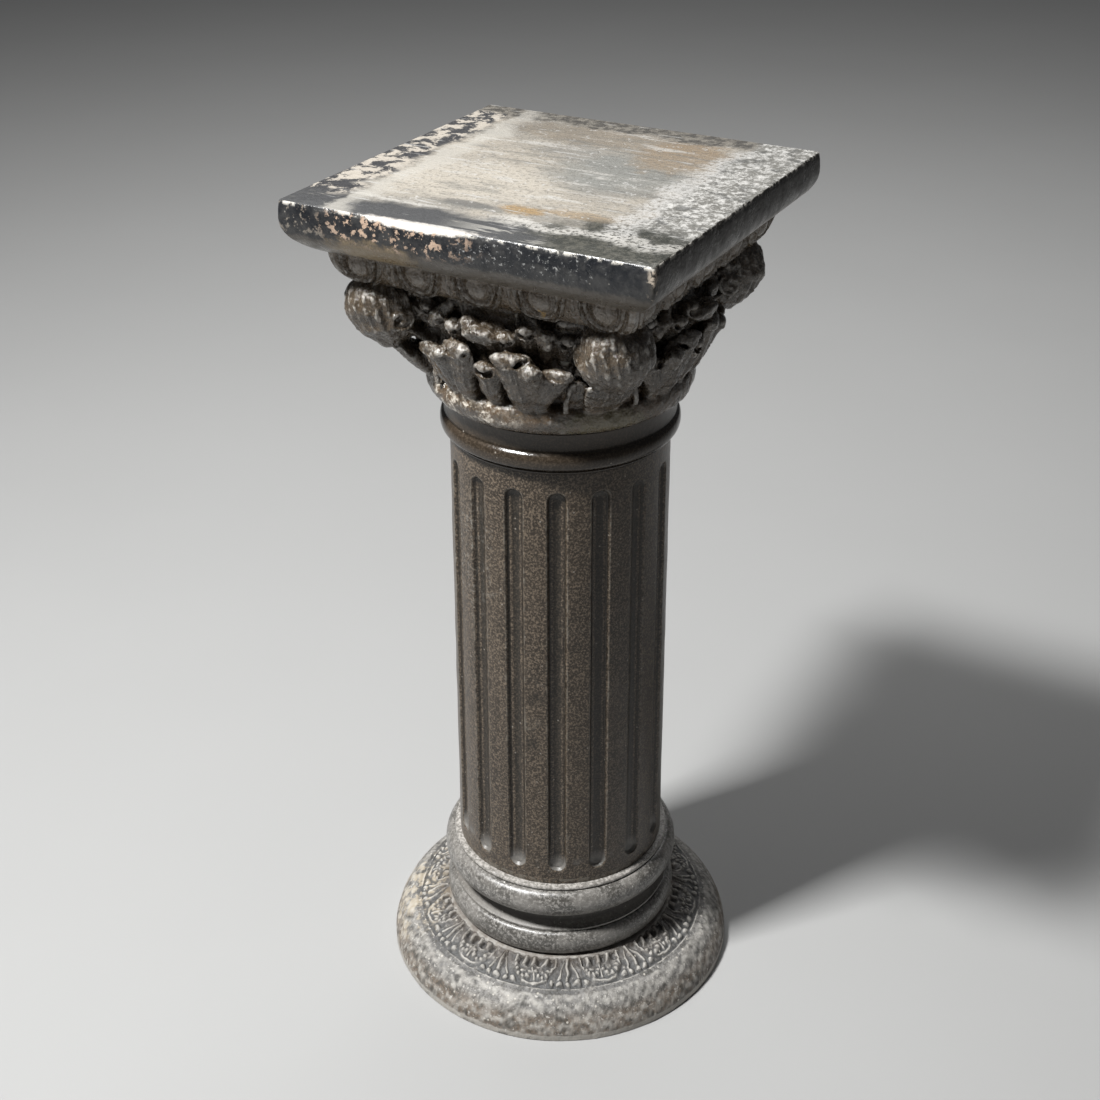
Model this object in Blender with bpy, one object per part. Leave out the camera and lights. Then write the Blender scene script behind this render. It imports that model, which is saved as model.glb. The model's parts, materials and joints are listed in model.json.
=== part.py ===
# A short fluted column that carries a square slab, in four pieces that stand one on the other:
# a round disc with a ring of low leaves, a moulded base, a fluted shaft and a leaf capital.
# Metres, +Z up, origin in the middle of the underside, slab sides along X and Y.
# Each piece is drawn from its own foot upward and is then lifted to where it stands.
import math

import bmesh
import bpy
from mathutils import Vector

for old in list(bpy.data.objects):
    bpy.data.objects.remove(old, do_unlink=True)

JOINT_GAP = 0.0003

# Round disc
DISC_HEIGHT = 0.0609
DISC_RADIUS = 0.1942
DISC_SHOULDER_RADIUS = 0.1667
DISC_SHOULDER_Z = 0.0443
DISC_BELLY_Z = 0.0063
DISC_ROUNDING = 1.27
DISC_SEAT_RADIUS = 0.1280
LEAF_RING_IN = 0.1350
LEAF_RING_OUT = 0.1620
LEAF_RING_RISE = 0.0038
LEAF_RING_COUNT = 12
LEAF_RING_TURN = 1.7

# Moulded base
LOWER_TORUS_RADIUS = 0.1299
LOWER_TORUS_EDGE = 0.1215
LOWER_TORUS_HEIGHT = 0.0300
SCOTIA_HEIGHT = 0.0238
SCOTIA_RADIUS = 0.1120
SCOTIA_FILLET_RADIUS = 0.1222
SCOTIA_FILLET_HEIGHT = 0.0036
UPPER_TORUS_RADIUS = 0.1309
UPPER_TORUS_EDGE = 0.1195
UPPER_TORUS_HEIGHT = 0.0325
TOP_FILLET_RADIUS = 0.1204
TOP_FILLET_HEIGHT = 0.0051
MOULDING_GROOVE = 0.0003
MOULDING_CHAMFER = 0.0010

# Fluted shaft with the rounded necking at its head
SHAFT_FOOT_RADIUS = 0.1137
SHAFT_TOP_RADIUS = 0.1101
SHAFT_FLUTED_HEIGHT = 0.4941
NECKING_HEIGHT = 0.0442
NECKING_RADIUS = 0.1188
NECKING_TOP_RADIUS = 0.1160
NECKING_FILLET = 0.0010
NECKING_FILLET_HEIGHT = 0.0038
FLUTE_COUNT = 16
FLUTE_WIDTH = 0.0205
FLUTE_DEPTH = 0.0065
FLUTE_FOOT_MARGIN = 0.0161
FLUTE_TOP_MARGIN = 0.0200
FLUTE_TURN = 4.2
FLUTE_TIP_SHARE = 0.12
FLUTE_FLOOR_SHARE = 0.22
# The round end of a flute: shares of half its width along it, of its width and of its depth
FLUTE_END = ((0.0, FLUTE_TIP_SHARE, 0.0), (0.3, 0.71, 0.6), (1.0, 1.0, 1.0))

# Capital: bottom ring and bell
RING_HEIGHT = 0.0313
RING_FOOT_RADIUS = 0.1178
RING_RADIUS = 0.1317
# The ring's section, as shares of its height and of how far it swells out
RING_SWELL = ((0.0, 0.0), (0.11, 0.45), (0.27, 0.79), (0.49, 0.97), (0.69, 1.0), (0.90, 0.88), (1.0, 0.55))
BELL_HEIGHT = 0.0937
BELL_FOOT_RADIUS = 0.1180
BELL_TOP_RADIUS = 0.1290
BELL_FLARE = 3.6
# Capital: egg band and slab, as half sides of their squares
EGG_BAND_HEIGHT = 0.0325
EGG_BAND_FOOT_HALF = 0.1290
EGG_BAND_TOP_HALF = 0.1560
EGG_RISE = 0.0060
EGG_PITCH = 0.0620
EGGS_PER_SIDE = 5
EGG_CORNER_LAND = 0.0020
SLAB_HEIGHT = 0.0510
SLAB_FOOT_HALF = 0.1580
SLAB_HALF = 0.1855
SLAB_TOP_HALF = 0.1842
SLAB_CORNER = 0.0030
SLAB_ARRIS = 0.0010
# The slab's side, as shares of its height and of how far it overhangs its foot
SLAB_SWELL = ((0.0, 0.0), (0.14, 0.40), (0.28, 0.73), (0.45, 0.93), (0.63, 1.01), (0.80, 1.0))
# How far a shape runs into the one that it grows out of
ROOT = 0.0020
# Places across one egg, as shares of the pitch, and up the band, as shares of its height
EGG_ACROSS = (-0.36, -0.25, 0.0, 0.25, 0.36, 0.5)
EGG_UP = (0.0, 0.16, 0.34, 0.62, 1.0)
# The carving's shares of its own rise at those places: rim, groove, egg, groove, rim, dart
EGG_SHARES = (
    (0.5, 0.5, 0.6, 0.5, 0.5, 0.2),
    (0.7, 0.9, 1.0, 0.9, 0.7, 0.1),
    (1.0, 0.5, 0.2, 0.5, 1.0, 0.2),
    (1.0, 0.1, 1.0, 0.1, 1.0, 0.5),
    (0.8, 0.0, 0.6, 0.0, 0.8, 0.6),
)
# Capital: the ribbed scroll under each corner of the slab
SCROLL_REACH = 0.1710
SCROLL_DROP = 0.0575
SCROLL_RADIUS = 0.0355
SCROLL_HALF_WIDTH = 0.0340
SCROLL_RIBS = 5
SCROLL_RIB_DEPTH = 0.07
SCROLL_COLUMNS = 10
SCROLL_END_LEAN = 80.0
# Stations of its root: reach and height from the scroll's middle, half width, half thickness
SCROLL_ROOT = (
    (-0.0530, -0.0155, 0.0260, 0.0180),
    (-0.0350, -0.0035, 0.0280, 0.0220),
    (-0.0110, 0.0015, 0.0220, 0.0200),
)
# Capital: lower leaves. Reaches are counted from the bell's foot, heights are shares of the bell's
PLANT_ANGLE = 18.5
PLANT_SPREAD = 2.0
LEAF_FOOT = -0.04
# Stations of a fan: share of its height, shares of its width and thickness, lean outward
LOBE_STATIONS = (
    (0.00, 0.45, 0.60, -0.004),
    (0.35, 0.80, 1.00, 0.001),
    (0.70, 1.00, 1.00, 0.004),
    (0.92, 0.95, 0.90, 0.008),
    (1.00, 0.60, 0.45, 0.009),
)
# Each fan: angle of its tip, reach, height of its tip, half width, half thickness
FACE_LOBE = (11.0, 0.0105, 0.55, 0.0195, 0.0105)
CORNER_LOBE = (30.0, 0.0120, 0.42, 0.0155, 0.0105)
FACE_LEAF = (0.0, 0.0080, 0.48, 0.0110, 0.0100)
# Stations of the leaf under a scroll: reach, height, half width, half thickness
CORNER_LEAF = (
    (0.0060, LEAF_FOOT, 0.0160, 0.0090),
    (0.0170, 0.13, 0.0230, 0.0110),
    (0.0270, 0.27, 0.0250, 0.0110),
    (0.0380, 0.40, 0.0200, 0.0110),
)
# Stations of a stalk: reach, angle from the side's middle, height, half thickness
STALK = ((0.0050, 19.0, 0.50, 0.0040), (0.0090, 20.0, 0.77, 0.0042), (0.0170, 21.0, 1.07, 0.0045))
# The curled leaf tip in the middle of each side: how far it reaches out, and its drop below the slab
FACE_TIP_REACH = 0.1440
FACE_TIP_DROP = 0.0400
# Its stations: reach and height from its crest, half width, half thickness
FACE_TIP = (
    (-0.0250, -0.0010, 0.0140, 0.0080),
    (-0.0110, 0.0030, 0.0220, 0.0100),
    (0.0, -0.0010, 0.0230, 0.0090),
    (0.0050, -0.0110, 0.0120, 0.0040),
)
# Share of the joined carving's faces that are kept
CARVING_FACES_KEPT = 0.67

# Heights that follow from those above
BASE_HEIGHT = LOWER_TORUS_HEIGHT + SCOTIA_HEIGHT + UPPER_TORUS_HEIGHT + TOP_FILLET_HEIGHT
SHAFT_HEIGHT = SHAFT_FLUTED_HEIGHT + NECKING_HEIGHT
EGG_BAND_Z = RING_HEIGHT + BELL_HEIGHT
SLAB_Z = EGG_BAND_Z + EGG_BAND_HEIGHT
BASE_LIFT = DISC_HEIGHT + JOINT_GAP
SHAFT_LIFT = BASE_LIFT + BASE_HEIGHT + JOINT_GAP
CAPITAL_LIFT = SHAFT_LIFT + SHAFT_HEIGHT + JOINT_GAP


def polar(radius, degrees, z):
    """A point at this reach, this many degrees round from the -Y side towards +X, and this height."""
    turn = math.radians(degrees)
    return Vector((radius * math.sin(turn), -radius * math.cos(turn), z))


def material(name, colour, roughness, metallic):
    made = bpy.data.materials.new(name)
    made.use_nodes = True
    shader = made.node_tree.nodes["Principled BSDF"]
    shader.inputs["Base Color"].default_value = (*colour, 1.0)
    shader.inputs["Roughness"].default_value = roughness
    shader.inputs["Metallic"].default_value = metallic
    return made


def stitch(work, low, high):
    """Faces between two loops. Loops of unlike counts are level ones, and are joined by their points' angles."""
    if len(low) == len(high):
        for i in range(len(low)):
            j = (i + 1) % len(low)
            work.faces.new((low[i], low[j], high[j], high[i]))
        return
    first = math.atan2(low[0].co.x, -low[0].co.y)

    def turn(vertex):
        return (math.atan2(vertex.co.x, -vertex.co.y) - first + 1e-6) % (2.0 * math.pi)

    start = min(range(len(high)), key=lambda k: turn(high[k]))
    high = high[start:] + high[:start]
    i = j = 0
    while i < len(low) or j < len(high):
        next_low = turn(low[i + 1]) if i + 1 < len(low) else 2.0 * math.pi
        next_high = turn(high[j + 1]) if j + 1 < len(high) else 2.0 * math.pi + turn(high[0])
        if i < len(low) and (next_low <= next_high or j == len(high)):
            work.faces.new((low[i], low[(i + 1) % len(low)], high[j % len(high)]))
            i += 1
        else:
            work.faces.new((low[i % len(low)], high[(j + 1) % len(high)], high[j]))
            j += 1


def solid_from_loops(name, loops, lift, crease=30.0):
    """One closed solid through closed loops of points, from one end to the other."""
    mesh = bpy.data.meshes.new(name)
    work = bmesh.new()
    rows = [[work.verts.new(point) for point in loop] for loop in loops]
    for low, high in zip(rows, rows[1:]):
        stitch(work, low, high)
    for row, closes_start in ((rows[0], True), (rows[-1], False)):
        middle = work.verts.new(sum((v.co for v in row), Vector()) / len(row))
        for i in range(len(row)):
            j = (i + 1) % len(row)
            ends = (row[j], row[i]) if closes_start else (row[i], row[j])
            work.faces.new((*ends, middle))
    bmesh.ops.recalc_face_normals(work, faces=work.faces)
    if work.calc_volume(signed=True) < 0:
        bmesh.ops.reverse_faces(work, faces=work.faces)
    work.to_mesh(mesh)
    work.free()
    mesh.shade_smooth()
    mesh.set_sharp_from_angle(angle=math.radians(crease))
    made = bpy.data.objects.new(name, mesh)
    made.location.z = lift
    bpy.context.scene.collection.objects.link(made)
    return made


def round_loops(profile, columns):
    """Level circles, one for each (radius, z) of the profile."""
    return [[polar(radius, 360.0 * i / columns, z) for i in range(columns)] for radius, z in profile]


def bulge(foot, top, reach, steps=5):
    """A half-round moulding's profile from (radius, z) to (radius, z), swelling out to this radius."""
    points = []
    for i in range(1, steps):
        share = i / steps
        radius = foot[0] + (top[0] - foot[0]) * share
        middle = (foot[0] + top[0]) / 2.0
        z = (foot[1] + top[1]) / 2.0 - (top[1] - foot[1]) / 2.0 * math.cos(math.pi * share)
        points.append((radius + (reach - middle) * math.sin(math.pi * share), z))
    return [foot, *points, top]


# Round disc with its ring of leaves
def disc_top(radius):
    """Height of the plain disc's upper side: a shallow cone from the seat out to the shoulder."""
    slope = (DISC_HEIGHT - DISC_SHOULDER_Z) / (DISC_SHOULDER_RADIUS - DISC_SEAT_RADIUS)
    return DISC_HEIGHT - slope * max(0.0, radius - DISC_SEAT_RADIUS)


def leaf_ring_rise(radius, degrees):
    """Rise of the low leaves: upright leaves with a midrib, and rounded fans between them."""
    along = (radius - LEAF_RING_IN) / (LEAF_RING_OUT - LEAF_RING_IN)
    if along <= 0.0 or along >= 1.0:
        return 0.0
    share = ((degrees - LEAF_RING_TURN) * LEAF_RING_COUNT / 360.0) % 1.0
    upright = 0.5 + 0.5 * math.cos(2.0 * math.pi * share)
    fan = 0.5 - 0.5 * math.cos(2.0 * math.pi * share)
    veins = 0.75 + 0.25 * math.cos(6.0 * math.pi * share)
    return LEAF_RING_RISE * veins * (upright * along + fan * math.sin(math.pi * along))


def plinth_disc():
    rim = [(DISC_RADIUS, 0.0)]
    for degrees in (0.0, 18.0, 36.0, 54.0, 72.0, 90.0):
        out = math.cos(math.radians(degrees)) ** DISC_ROUNDING
        up = math.sin(math.radians(degrees)) ** DISC_ROUNDING
        reach = DISC_SHOULDER_RADIUS + (DISC_RADIUS - DISC_SHOULDER_RADIUS) * out
        rim.append((reach, DISC_BELLY_Z + (DISC_SHOULDER_Z - DISC_BELLY_Z) * up))
    loops = round_loops(rim, 48)
    columns = LEAF_RING_COUNT * 6
    for share in (1.0, 0.88, 0.60, 0.30, 0.0):
        reach = LEAF_RING_IN + (LEAF_RING_OUT - LEAF_RING_IN) * share
        loop = []
        for i in range(columns):
            degrees = 360.0 * i / columns + LEAF_RING_TURN
            loop.append(polar(reach, degrees, disc_top(reach) + leaf_ring_rise(reach, degrees)))
        loops.append(loop)
    loops += round_loops([(DISC_SEAT_RADIUS, DISC_HEIGHT)], 48)
    made = solid_from_loops("plinth_disc", loops, 0.0)
    made.data.materials.append(material("worn_grey_disc", (0.32, 0.29, 0.26), 0.80, 0.0))


# Moulded base: lower torus, fillet, scotia, upper torus and top fillet
def base_moulding():
    scotia_z = LOWER_TORUS_HEIGHT
    upper_z = scotia_z + SCOTIA_HEIGHT
    fillet_z = upper_z + UPPER_TORUS_HEIGHT
    profile = bulge((LOWER_TORUS_EDGE, 0.0), (LOWER_TORUS_EDGE, scotia_z), LOWER_TORUS_RADIUS)
    profile += [(SCOTIA_FILLET_RADIUS, scotia_z + MOULDING_GROOVE)]
    profile += [(SCOTIA_FILLET_RADIUS, scotia_z + SCOTIA_FILLET_HEIGHT)]
    hollow_z = scotia_z + SCOTIA_FILLET_HEIGHT
    for along, sink in ((0.18, 0.56), (0.50, 1.0), (0.80, 0.85)):
        radius = SCOTIA_FILLET_RADIUS + (SCOTIA_RADIUS - SCOTIA_FILLET_RADIUS) * sink
        profile.append((radius, hollow_z + (upper_z - hollow_z) * along))
    profile += bulge((UPPER_TORUS_EDGE, upper_z), (UPPER_TORUS_EDGE, fillet_z), UPPER_TORUS_RADIUS)
    profile += [(TOP_FILLET_RADIUS, fillet_z + MOULDING_CHAMFER)]
    profile += [(TOP_FILLET_RADIUS - MOULDING_CHAMFER, BASE_HEIGHT - MOULDING_CHAMFER)]
    profile += [(TOP_FILLET_RADIUS - 2.0 * MOULDING_CHAMFER, BASE_HEIGHT)]
    made = solid_from_loops("base_moulding", round_loops(profile, 40), BASE_LIFT)
    made.data.materials.append(material("worn_grey_black_base", (0.16, 0.15, 0.135), 0.50, 0.0))


# Fluted shaft
def fluted_loop(z, width, depth):
    """A level loop round the shaft: each flute holds its two edges and two floor points, then the land."""
    radius = SHAFT_FOOT_RADIUS + (SHAFT_TOP_RADIUS - SHAFT_FOOT_RADIUS) * z / SHAFT_FLUTED_HEIGHT
    loop = []
    for i in range(FLUTE_COUNT):
        middle = FLUTE_TURN + 360.0 * i / FLUTE_COUNT
        for share, sink in ((-0.5, 0.0), (-FLUTE_FLOOR_SHARE, 0.9), (FLUTE_FLOOR_SHARE, 0.9), (0.5, 0.0)):
            turn = math.degrees(share * width / radius)
            loop.append(polar(radius - sink * depth, middle + turn, z))
        loop.append(polar(radius, middle + 180.0 / FLUTE_COUNT, z))
    return loop


def fluted_shaft():
    flute_top = SHAFT_FLUTED_HEIGHT - FLUTE_TOP_MARGIN
    loops = [fluted_loop(0.0, FLUTE_WIDTH * FLUTE_TIP_SHARE, 0.0)]
    for along, width_share, depth_share in FLUTE_END:
        z = FLUTE_FOOT_MARGIN + along * FLUTE_WIDTH / 2.0
        loops.append(fluted_loop(z, FLUTE_WIDTH * width_share, FLUTE_DEPTH * depth_share))
    for along, width_share, depth_share in reversed(FLUTE_END):
        z = flute_top - along * FLUTE_WIDTH / 2.0
        loops.append(fluted_loop(z, FLUTE_WIDTH * width_share, FLUTE_DEPTH * depth_share))
    loops.append(fluted_loop(SHAFT_FLUTED_HEIGHT, FLUTE_WIDTH * FLUTE_TIP_SHARE, 0.0))
    fillet_radius = SHAFT_TOP_RADIUS + NECKING_FILLET
    fillet_top = SHAFT_FLUTED_HEIGHT + NECKING_FILLET_HEIGHT
    necking = [(fillet_radius, SHAFT_FLUTED_HEIGHT + MOULDING_CHAMFER), (fillet_radius, fillet_top)]
    swell_foot = (fillet_radius + 2.0 * MOULDING_GROOVE, fillet_top + MOULDING_GROOVE)
    necking += bulge(swell_foot, (NECKING_TOP_RADIUS, SHAFT_HEIGHT), NECKING_RADIUS)
    loops += round_loops(necking, 40)
    made = solid_from_loops("fluted_shaft", loops, SHAFT_LIFT, crease=25.0)
    made.data.materials.append(material("worn_black_shaft", (0.055, 0.047, 0.038), 0.42, 0.0))


# Capital
def sideways_at(degrees):
    """The level direction to the right for someone who looks at the capital from this side."""
    return polar(1.0, degrees + 90.0, 0.0)


def bell_z(share):
    """Height at this share of the bell's height."""
    return RING_HEIGHT + BELL_HEIGHT * share


def helper(name, loops):
    """A shape that the capital is joined with."""
    made = solid_from_loops(name, loops, CAPITAL_LIFT)
    made.hide_render = True
    made.display_type = "WIRE"
    return made


def add_carving(name, loops):
    """A helper among those whose faces are thinned out once they are joined."""
    made = helper(name, loops)
    bpy.context.scene.collection.objects.unlink(made)
    bpy.data.collections["capital_carving"].objects.link(made)


def square_loop(half, corner, z):
    """A level square with its corners cut back."""
    loop = []
    for k in range(4):
        for along in (-half + corner, half - corner):
            plan = math.degrees(math.atan2(along, half))
            loop.append(polar(math.hypot(half, along), 90.0 * k + plan, z))
    return loop


def slab():
    profile = [(SLAB_FOOT_HALF - ROOT, SLAB_Z - ROOT)]
    for up, out in SLAB_SWELL:
        profile.append((SLAB_FOOT_HALF + (SLAB_HALF - SLAB_FOOT_HALF) * out, SLAB_Z + SLAB_HEIGHT * up))
    profile.append((SLAB_TOP_HALF + SLAB_ARRIS / 2.0, SLAB_Z + SLAB_HEIGHT - SLAB_ARRIS))
    profile.append((SLAB_TOP_HALF, SLAB_Z + SLAB_HEIGHT))
    return helper("slab", [square_loop(half, SLAB_CORNER, z) for half, z in profile])


def egg_band_loop(up, shares):
    """A loop of the egg band at this share of its height: a square that swells out as a quarter round."""
    z = EGG_BAND_Z + (EGG_BAND_HEIGHT + ROOT) * up
    reach = EGG_BAND_TOP_HALF - EGG_BAND_FOOT_HALF
    half = EGG_BAND_FOOT_HALF + reach * math.sqrt(1.0 - (1.0 - up) ** 2) - EGG_RISE
    loop = []
    for k in range(4):
        loop.append(polar(math.sqrt(2.0) * (half + EGG_RISE / 2.0), 90.0 * k - 45.0, z))
        for egg in range(EGGS_PER_SIDE):
            for across, share in zip(EGG_ACROSS, shares):
                along = (egg - EGGS_PER_SIDE // 2 + across) * EGG_PITCH
                if abs(along) > half - EGG_CORNER_LAND:
                    continue
                out = half + EGG_RISE * share
                plan = math.degrees(math.atan2(along, out))
                loop.append(polar(math.hypot(along, out), 90.0 * k + plan, z))
    return loop


def blade(name, stations, columns):
    """A closed leaf through stations of (middle, sideways unit, half width, half thickness); its sides are rounded."""
    middles = [station[0] for station in stations]
    loops = []
    for k, (middle, sideways, half_width, half_thick) in enumerate(stations):
        ahead = middles[min(k + 1, len(middles) - 1)] - middles[max(k - 1, 0)]
        outward = sideways.cross(ahead).normalized()
        loop = []
        for i in range(columns):
            turn = 2.0 * math.pi * i / columns
            offset = sideways * (half_width * math.cos(turn)) + outward * (half_thick * math.sin(turn))
            loop.append(middle + offset)
        loops.append(loop)
    add_carving(name, loops)


def upright_blade(name, degrees, table, reach_from, z_of, columns):
    """A blade in one upright plane through the axis, from a table of (reach, height, half width, half thickness)."""
    stations = []
    for reach, height, half_width, half_thick in table:
        middle = polar(reach_from + reach, degrees, z_of(height))
        stations.append((middle, sideways_at(degrees), half_width, half_thick))
    blade(name, stations, columns)


def lobe(name, face, foot_degrees, mirror, shape):
    """A fan of the lower leaves, which widens and leans over as it climbs."""
    tip_angle, reach, tip, half_width, half_thick = shape
    tip_degrees = face + mirror * tip_angle
    stations = []
    for share, wide, thick, lean in LOBE_STATIONS:
        degrees = foot_degrees + (tip_degrees - foot_degrees) * share
        z = bell_z(LEAF_FOOT + (tip - LEAF_FOOT) * share)
        middle = polar(BELL_FOOT_RADIUS + reach + lean, degrees, z)
        stations.append((middle, sideways_at(degrees), half_width * wide, half_thick * thick))
    blade(name, stations, 6)


def corner_scroll(name, corner):
    """A ribbed scroll like a ball, its axis level and square to the corner's diagonal."""
    axis = sideways_at(corner)
    outward = polar(1.0, corner, 0.0)
    centre = polar(SCROLL_REACH, corner, SLAB_Z - SCROLL_DROP)
    loops = []
    for row in range(2 * SCROLL_RIBS + 1):
        lean = math.radians(SCROLL_END_LEAN) * (row / SCROLL_RIBS - 1.0)
        ring_radius = SCROLL_RADIUS * math.cos(lean) * (1.0 - SCROLL_RIB_DEPTH * (row % 2))
        loop = []
        for i in range(SCROLL_COLUMNS):
            turn = 2.0 * math.pi * (i + 0.5) / SCROLL_COLUMNS
            around = outward * math.cos(turn) + Vector((0.0, 0.0, math.sin(turn)))
            loop.append(centre + axis * (SCROLL_HALF_WIDTH * math.sin(lean)) + around * ring_radius)
        loops.append(loop)
    add_carving(name, loops)


def lower_leaves(quarter, face):
    for side, mirror in (("left", -1.0), ("right", 1.0)):
        plant = face + mirror * PLANT_ANGLE
        lobe(f"face_lobe_{quarter}_{side}", face, plant - mirror * PLANT_SPREAD, mirror, FACE_LOBE)
        lobe(f"corner_lobe_{quarter}_{side}", face, plant + mirror * PLANT_SPREAD, mirror, CORNER_LOBE)
        stations = []
        for out, degrees, height, half in STALK:
            turn = face + mirror * degrees
            middle = polar(BELL_FOOT_RADIUS + out, turn, bell_z(height))
            stations.append((middle, sideways_at(turn), half, half))
        blade(f"stalk_{quarter}_{side}", stations, 6)
    lobe(f"face_leaf_{quarter}", face, face, 0.0, FACE_LEAF)


def leaf_capital():
    profile = []
    for up, out in RING_SWELL:
        profile.append((RING_FOOT_RADIUS + (RING_RADIUS - RING_FOOT_RADIUS) * out, RING_HEIGHT * up))
    for share in (0.0, 0.4, 0.72, 1.0):
        swell = (BELL_TOP_RADIUS - BELL_FOOT_RADIUS) * share**BELL_FLARE
        profile.append((BELL_FOOT_RADIUS + swell, bell_z(share) + MOULDING_GROOVE))
    profile.append((BELL_TOP_RADIUS, SLAB_Z + ROOT))
    capital = solid_from_loops("leaf_capital", round_loops(profile, 40), CAPITAL_LIFT)

    carved = bpy.data.collections.new("capital_carving")
    bpy.context.scene.collection.children.link(carved)
    add_carving("egg_band", [egg_band_loop(up, shares) for up, shares in zip(EGG_UP, EGG_SHARES)])
    scroll_z = SLAB_Z - SCROLL_DROP
    tip_z = SLAB_Z - FACE_TIP_DROP
    for quarter in range(4):
        face = 90.0 * quarter
        corner = face + 45.0
        lower_leaves(quarter, face)
        upright_blade(f"corner_leaf_{quarter}", corner, CORNER_LEAF, BELL_FOOT_RADIUS, bell_z, 10)
        corner_scroll(f"corner_scroll_{quarter}", corner)
        upright_blade(
            f"scroll_root_{quarter}", corner, SCROLL_ROOT, SCROLL_REACH, lambda up: scroll_z + up, 8
        )
        upright_blade(f"face_tip_{quarter}", face, FACE_TIP, FACE_TIP_REACH, lambda up: tip_z + up, 10)

    carving_union = capital.modifiers.new("join_carving", "BOOLEAN")
    carving_union.operation = "UNION"
    carving_union.operand_type = "COLLECTION"
    carving_union.collection = carved
    carving_union.solver = "EXACT"
    thinning = capital.modifiers.new("thin_out_faces", "DECIMATE")
    thinning.decimate_type = "COLLAPSE"
    thinning.ratio = CARVING_FACES_KEPT
    slab_union = capital.modifiers.new("join_slab", "BOOLEAN")
    slab_union.operation = "UNION"
    slab_union.object = slab()
    slab_union.solver = "EXACT"
    capital.data.materials.append(material("worn_black_capital", (0.065, 0.055, 0.045), 0.35, 0.0))


plinth_disc()
base_moulding()
fluted_shaft()
leaf_capital()
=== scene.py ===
import itertools
import json
import math

import bpy
import numpy as np
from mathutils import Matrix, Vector

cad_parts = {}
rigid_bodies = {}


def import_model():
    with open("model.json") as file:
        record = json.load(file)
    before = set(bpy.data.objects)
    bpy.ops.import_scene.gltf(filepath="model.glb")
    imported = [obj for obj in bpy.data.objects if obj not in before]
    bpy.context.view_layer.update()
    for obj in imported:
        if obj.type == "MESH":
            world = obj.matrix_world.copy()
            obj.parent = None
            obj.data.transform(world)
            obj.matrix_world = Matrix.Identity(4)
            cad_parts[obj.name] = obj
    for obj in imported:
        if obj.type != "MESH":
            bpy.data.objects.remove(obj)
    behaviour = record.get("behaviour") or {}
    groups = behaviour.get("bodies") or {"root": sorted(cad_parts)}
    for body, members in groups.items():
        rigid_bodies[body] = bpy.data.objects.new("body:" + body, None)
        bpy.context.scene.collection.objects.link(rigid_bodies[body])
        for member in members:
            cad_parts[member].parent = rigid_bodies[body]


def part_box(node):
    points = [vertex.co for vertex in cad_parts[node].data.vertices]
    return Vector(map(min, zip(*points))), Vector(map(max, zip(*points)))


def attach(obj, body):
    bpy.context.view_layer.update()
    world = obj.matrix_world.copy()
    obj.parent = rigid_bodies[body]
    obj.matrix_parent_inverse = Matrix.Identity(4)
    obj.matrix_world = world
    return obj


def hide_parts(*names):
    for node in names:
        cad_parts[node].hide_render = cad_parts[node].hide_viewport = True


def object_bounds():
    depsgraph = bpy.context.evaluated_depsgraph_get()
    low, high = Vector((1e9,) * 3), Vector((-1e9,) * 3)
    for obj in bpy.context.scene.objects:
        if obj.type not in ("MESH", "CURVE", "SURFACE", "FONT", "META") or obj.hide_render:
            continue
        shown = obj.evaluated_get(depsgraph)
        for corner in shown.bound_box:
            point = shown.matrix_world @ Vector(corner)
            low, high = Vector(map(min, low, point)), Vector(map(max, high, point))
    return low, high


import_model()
cad_low, cad_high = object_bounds()

# Places that follow from the frame
DISC_RADIUS = cad_high.x
DISC_TOP_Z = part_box("plinth_disc")[1].z
BASE_FOOT_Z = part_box("base_moulding")[0].z
BASE_TOP_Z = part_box("base_moulding")[1].z
SHAFT_FOOT_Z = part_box("fluted_shaft")[0].z
SHAFT_TOP_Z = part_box("fluted_shaft")[1].z
CAPITAL_FOOT_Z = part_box("leaf_capital")[0].z
SLAB_TOP_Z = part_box("leaf_capital")[1].z

# Disc
DISC_SHOULDER_RADIUS = 0.1667
DISC_SHOULDER_Z = 0.0443
DISC_BELLY_Z = 0.0063
DISC_ROUNDING = 1.27
DISC_SEAT_RADIUS = 0.128
LEAF_RING_IN = 0.13
LEAF_RING_OUT = 0.1625
LEAF_RING_RISE = 0.004
LEAF_RING_SINK = 0.0012
LEAF_RING_COUNT = 12
LEAF_RING_TURN = 1.7

# Moulded base
LOWER_TORUS_TOP_Z = 0.0912
UPPER_TORUS_FOOT_Z = 0.115
UPPER_TORUS_TOP_Z = 0.1475
# Scotia between the two, as (radius, z)
SCOTIA = [(0.1205, 0.0952), (0.1163, 0.0985), (0.1121, 0.105), (0.1134, 0.111), (0.118, 0.1146)]

# Shaft
SHAFT_FOOT_RADIUS = 0.1137
SHAFT_HEAD_RADIUS = 0.1101
SHAFT_HEAD_Z = 0.647
FLUTE_COUNT = 16
FLUTE_WIDTH = 0.0205
FLUTE_DEPTH = 0.0056
FLUTE_FOOT_Z = 0.169
FLUTE_TOP_Z = 0.627
FLUTE_TURN = 4.2
BEAD_TOP_Z = 0.673
# Necking from the fillet up: a bead, then a sunken band, as (radius, z)
NECKING_BEAD = [
    (0.1111, 0.6524), (0.115, 0.6529), (0.118, 0.6556), (0.119, 0.6602), (0.1187, 0.6645), (0.1176, 0.668),
    (0.1156, 0.6702), (0.1146, 0.6718), (0.1142, 0.6755), (0.1144, 0.681), (0.115, 0.686), (0.1158, 0.6902),
]

# Capital
RING_TOP_Z = 0.7228
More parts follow.
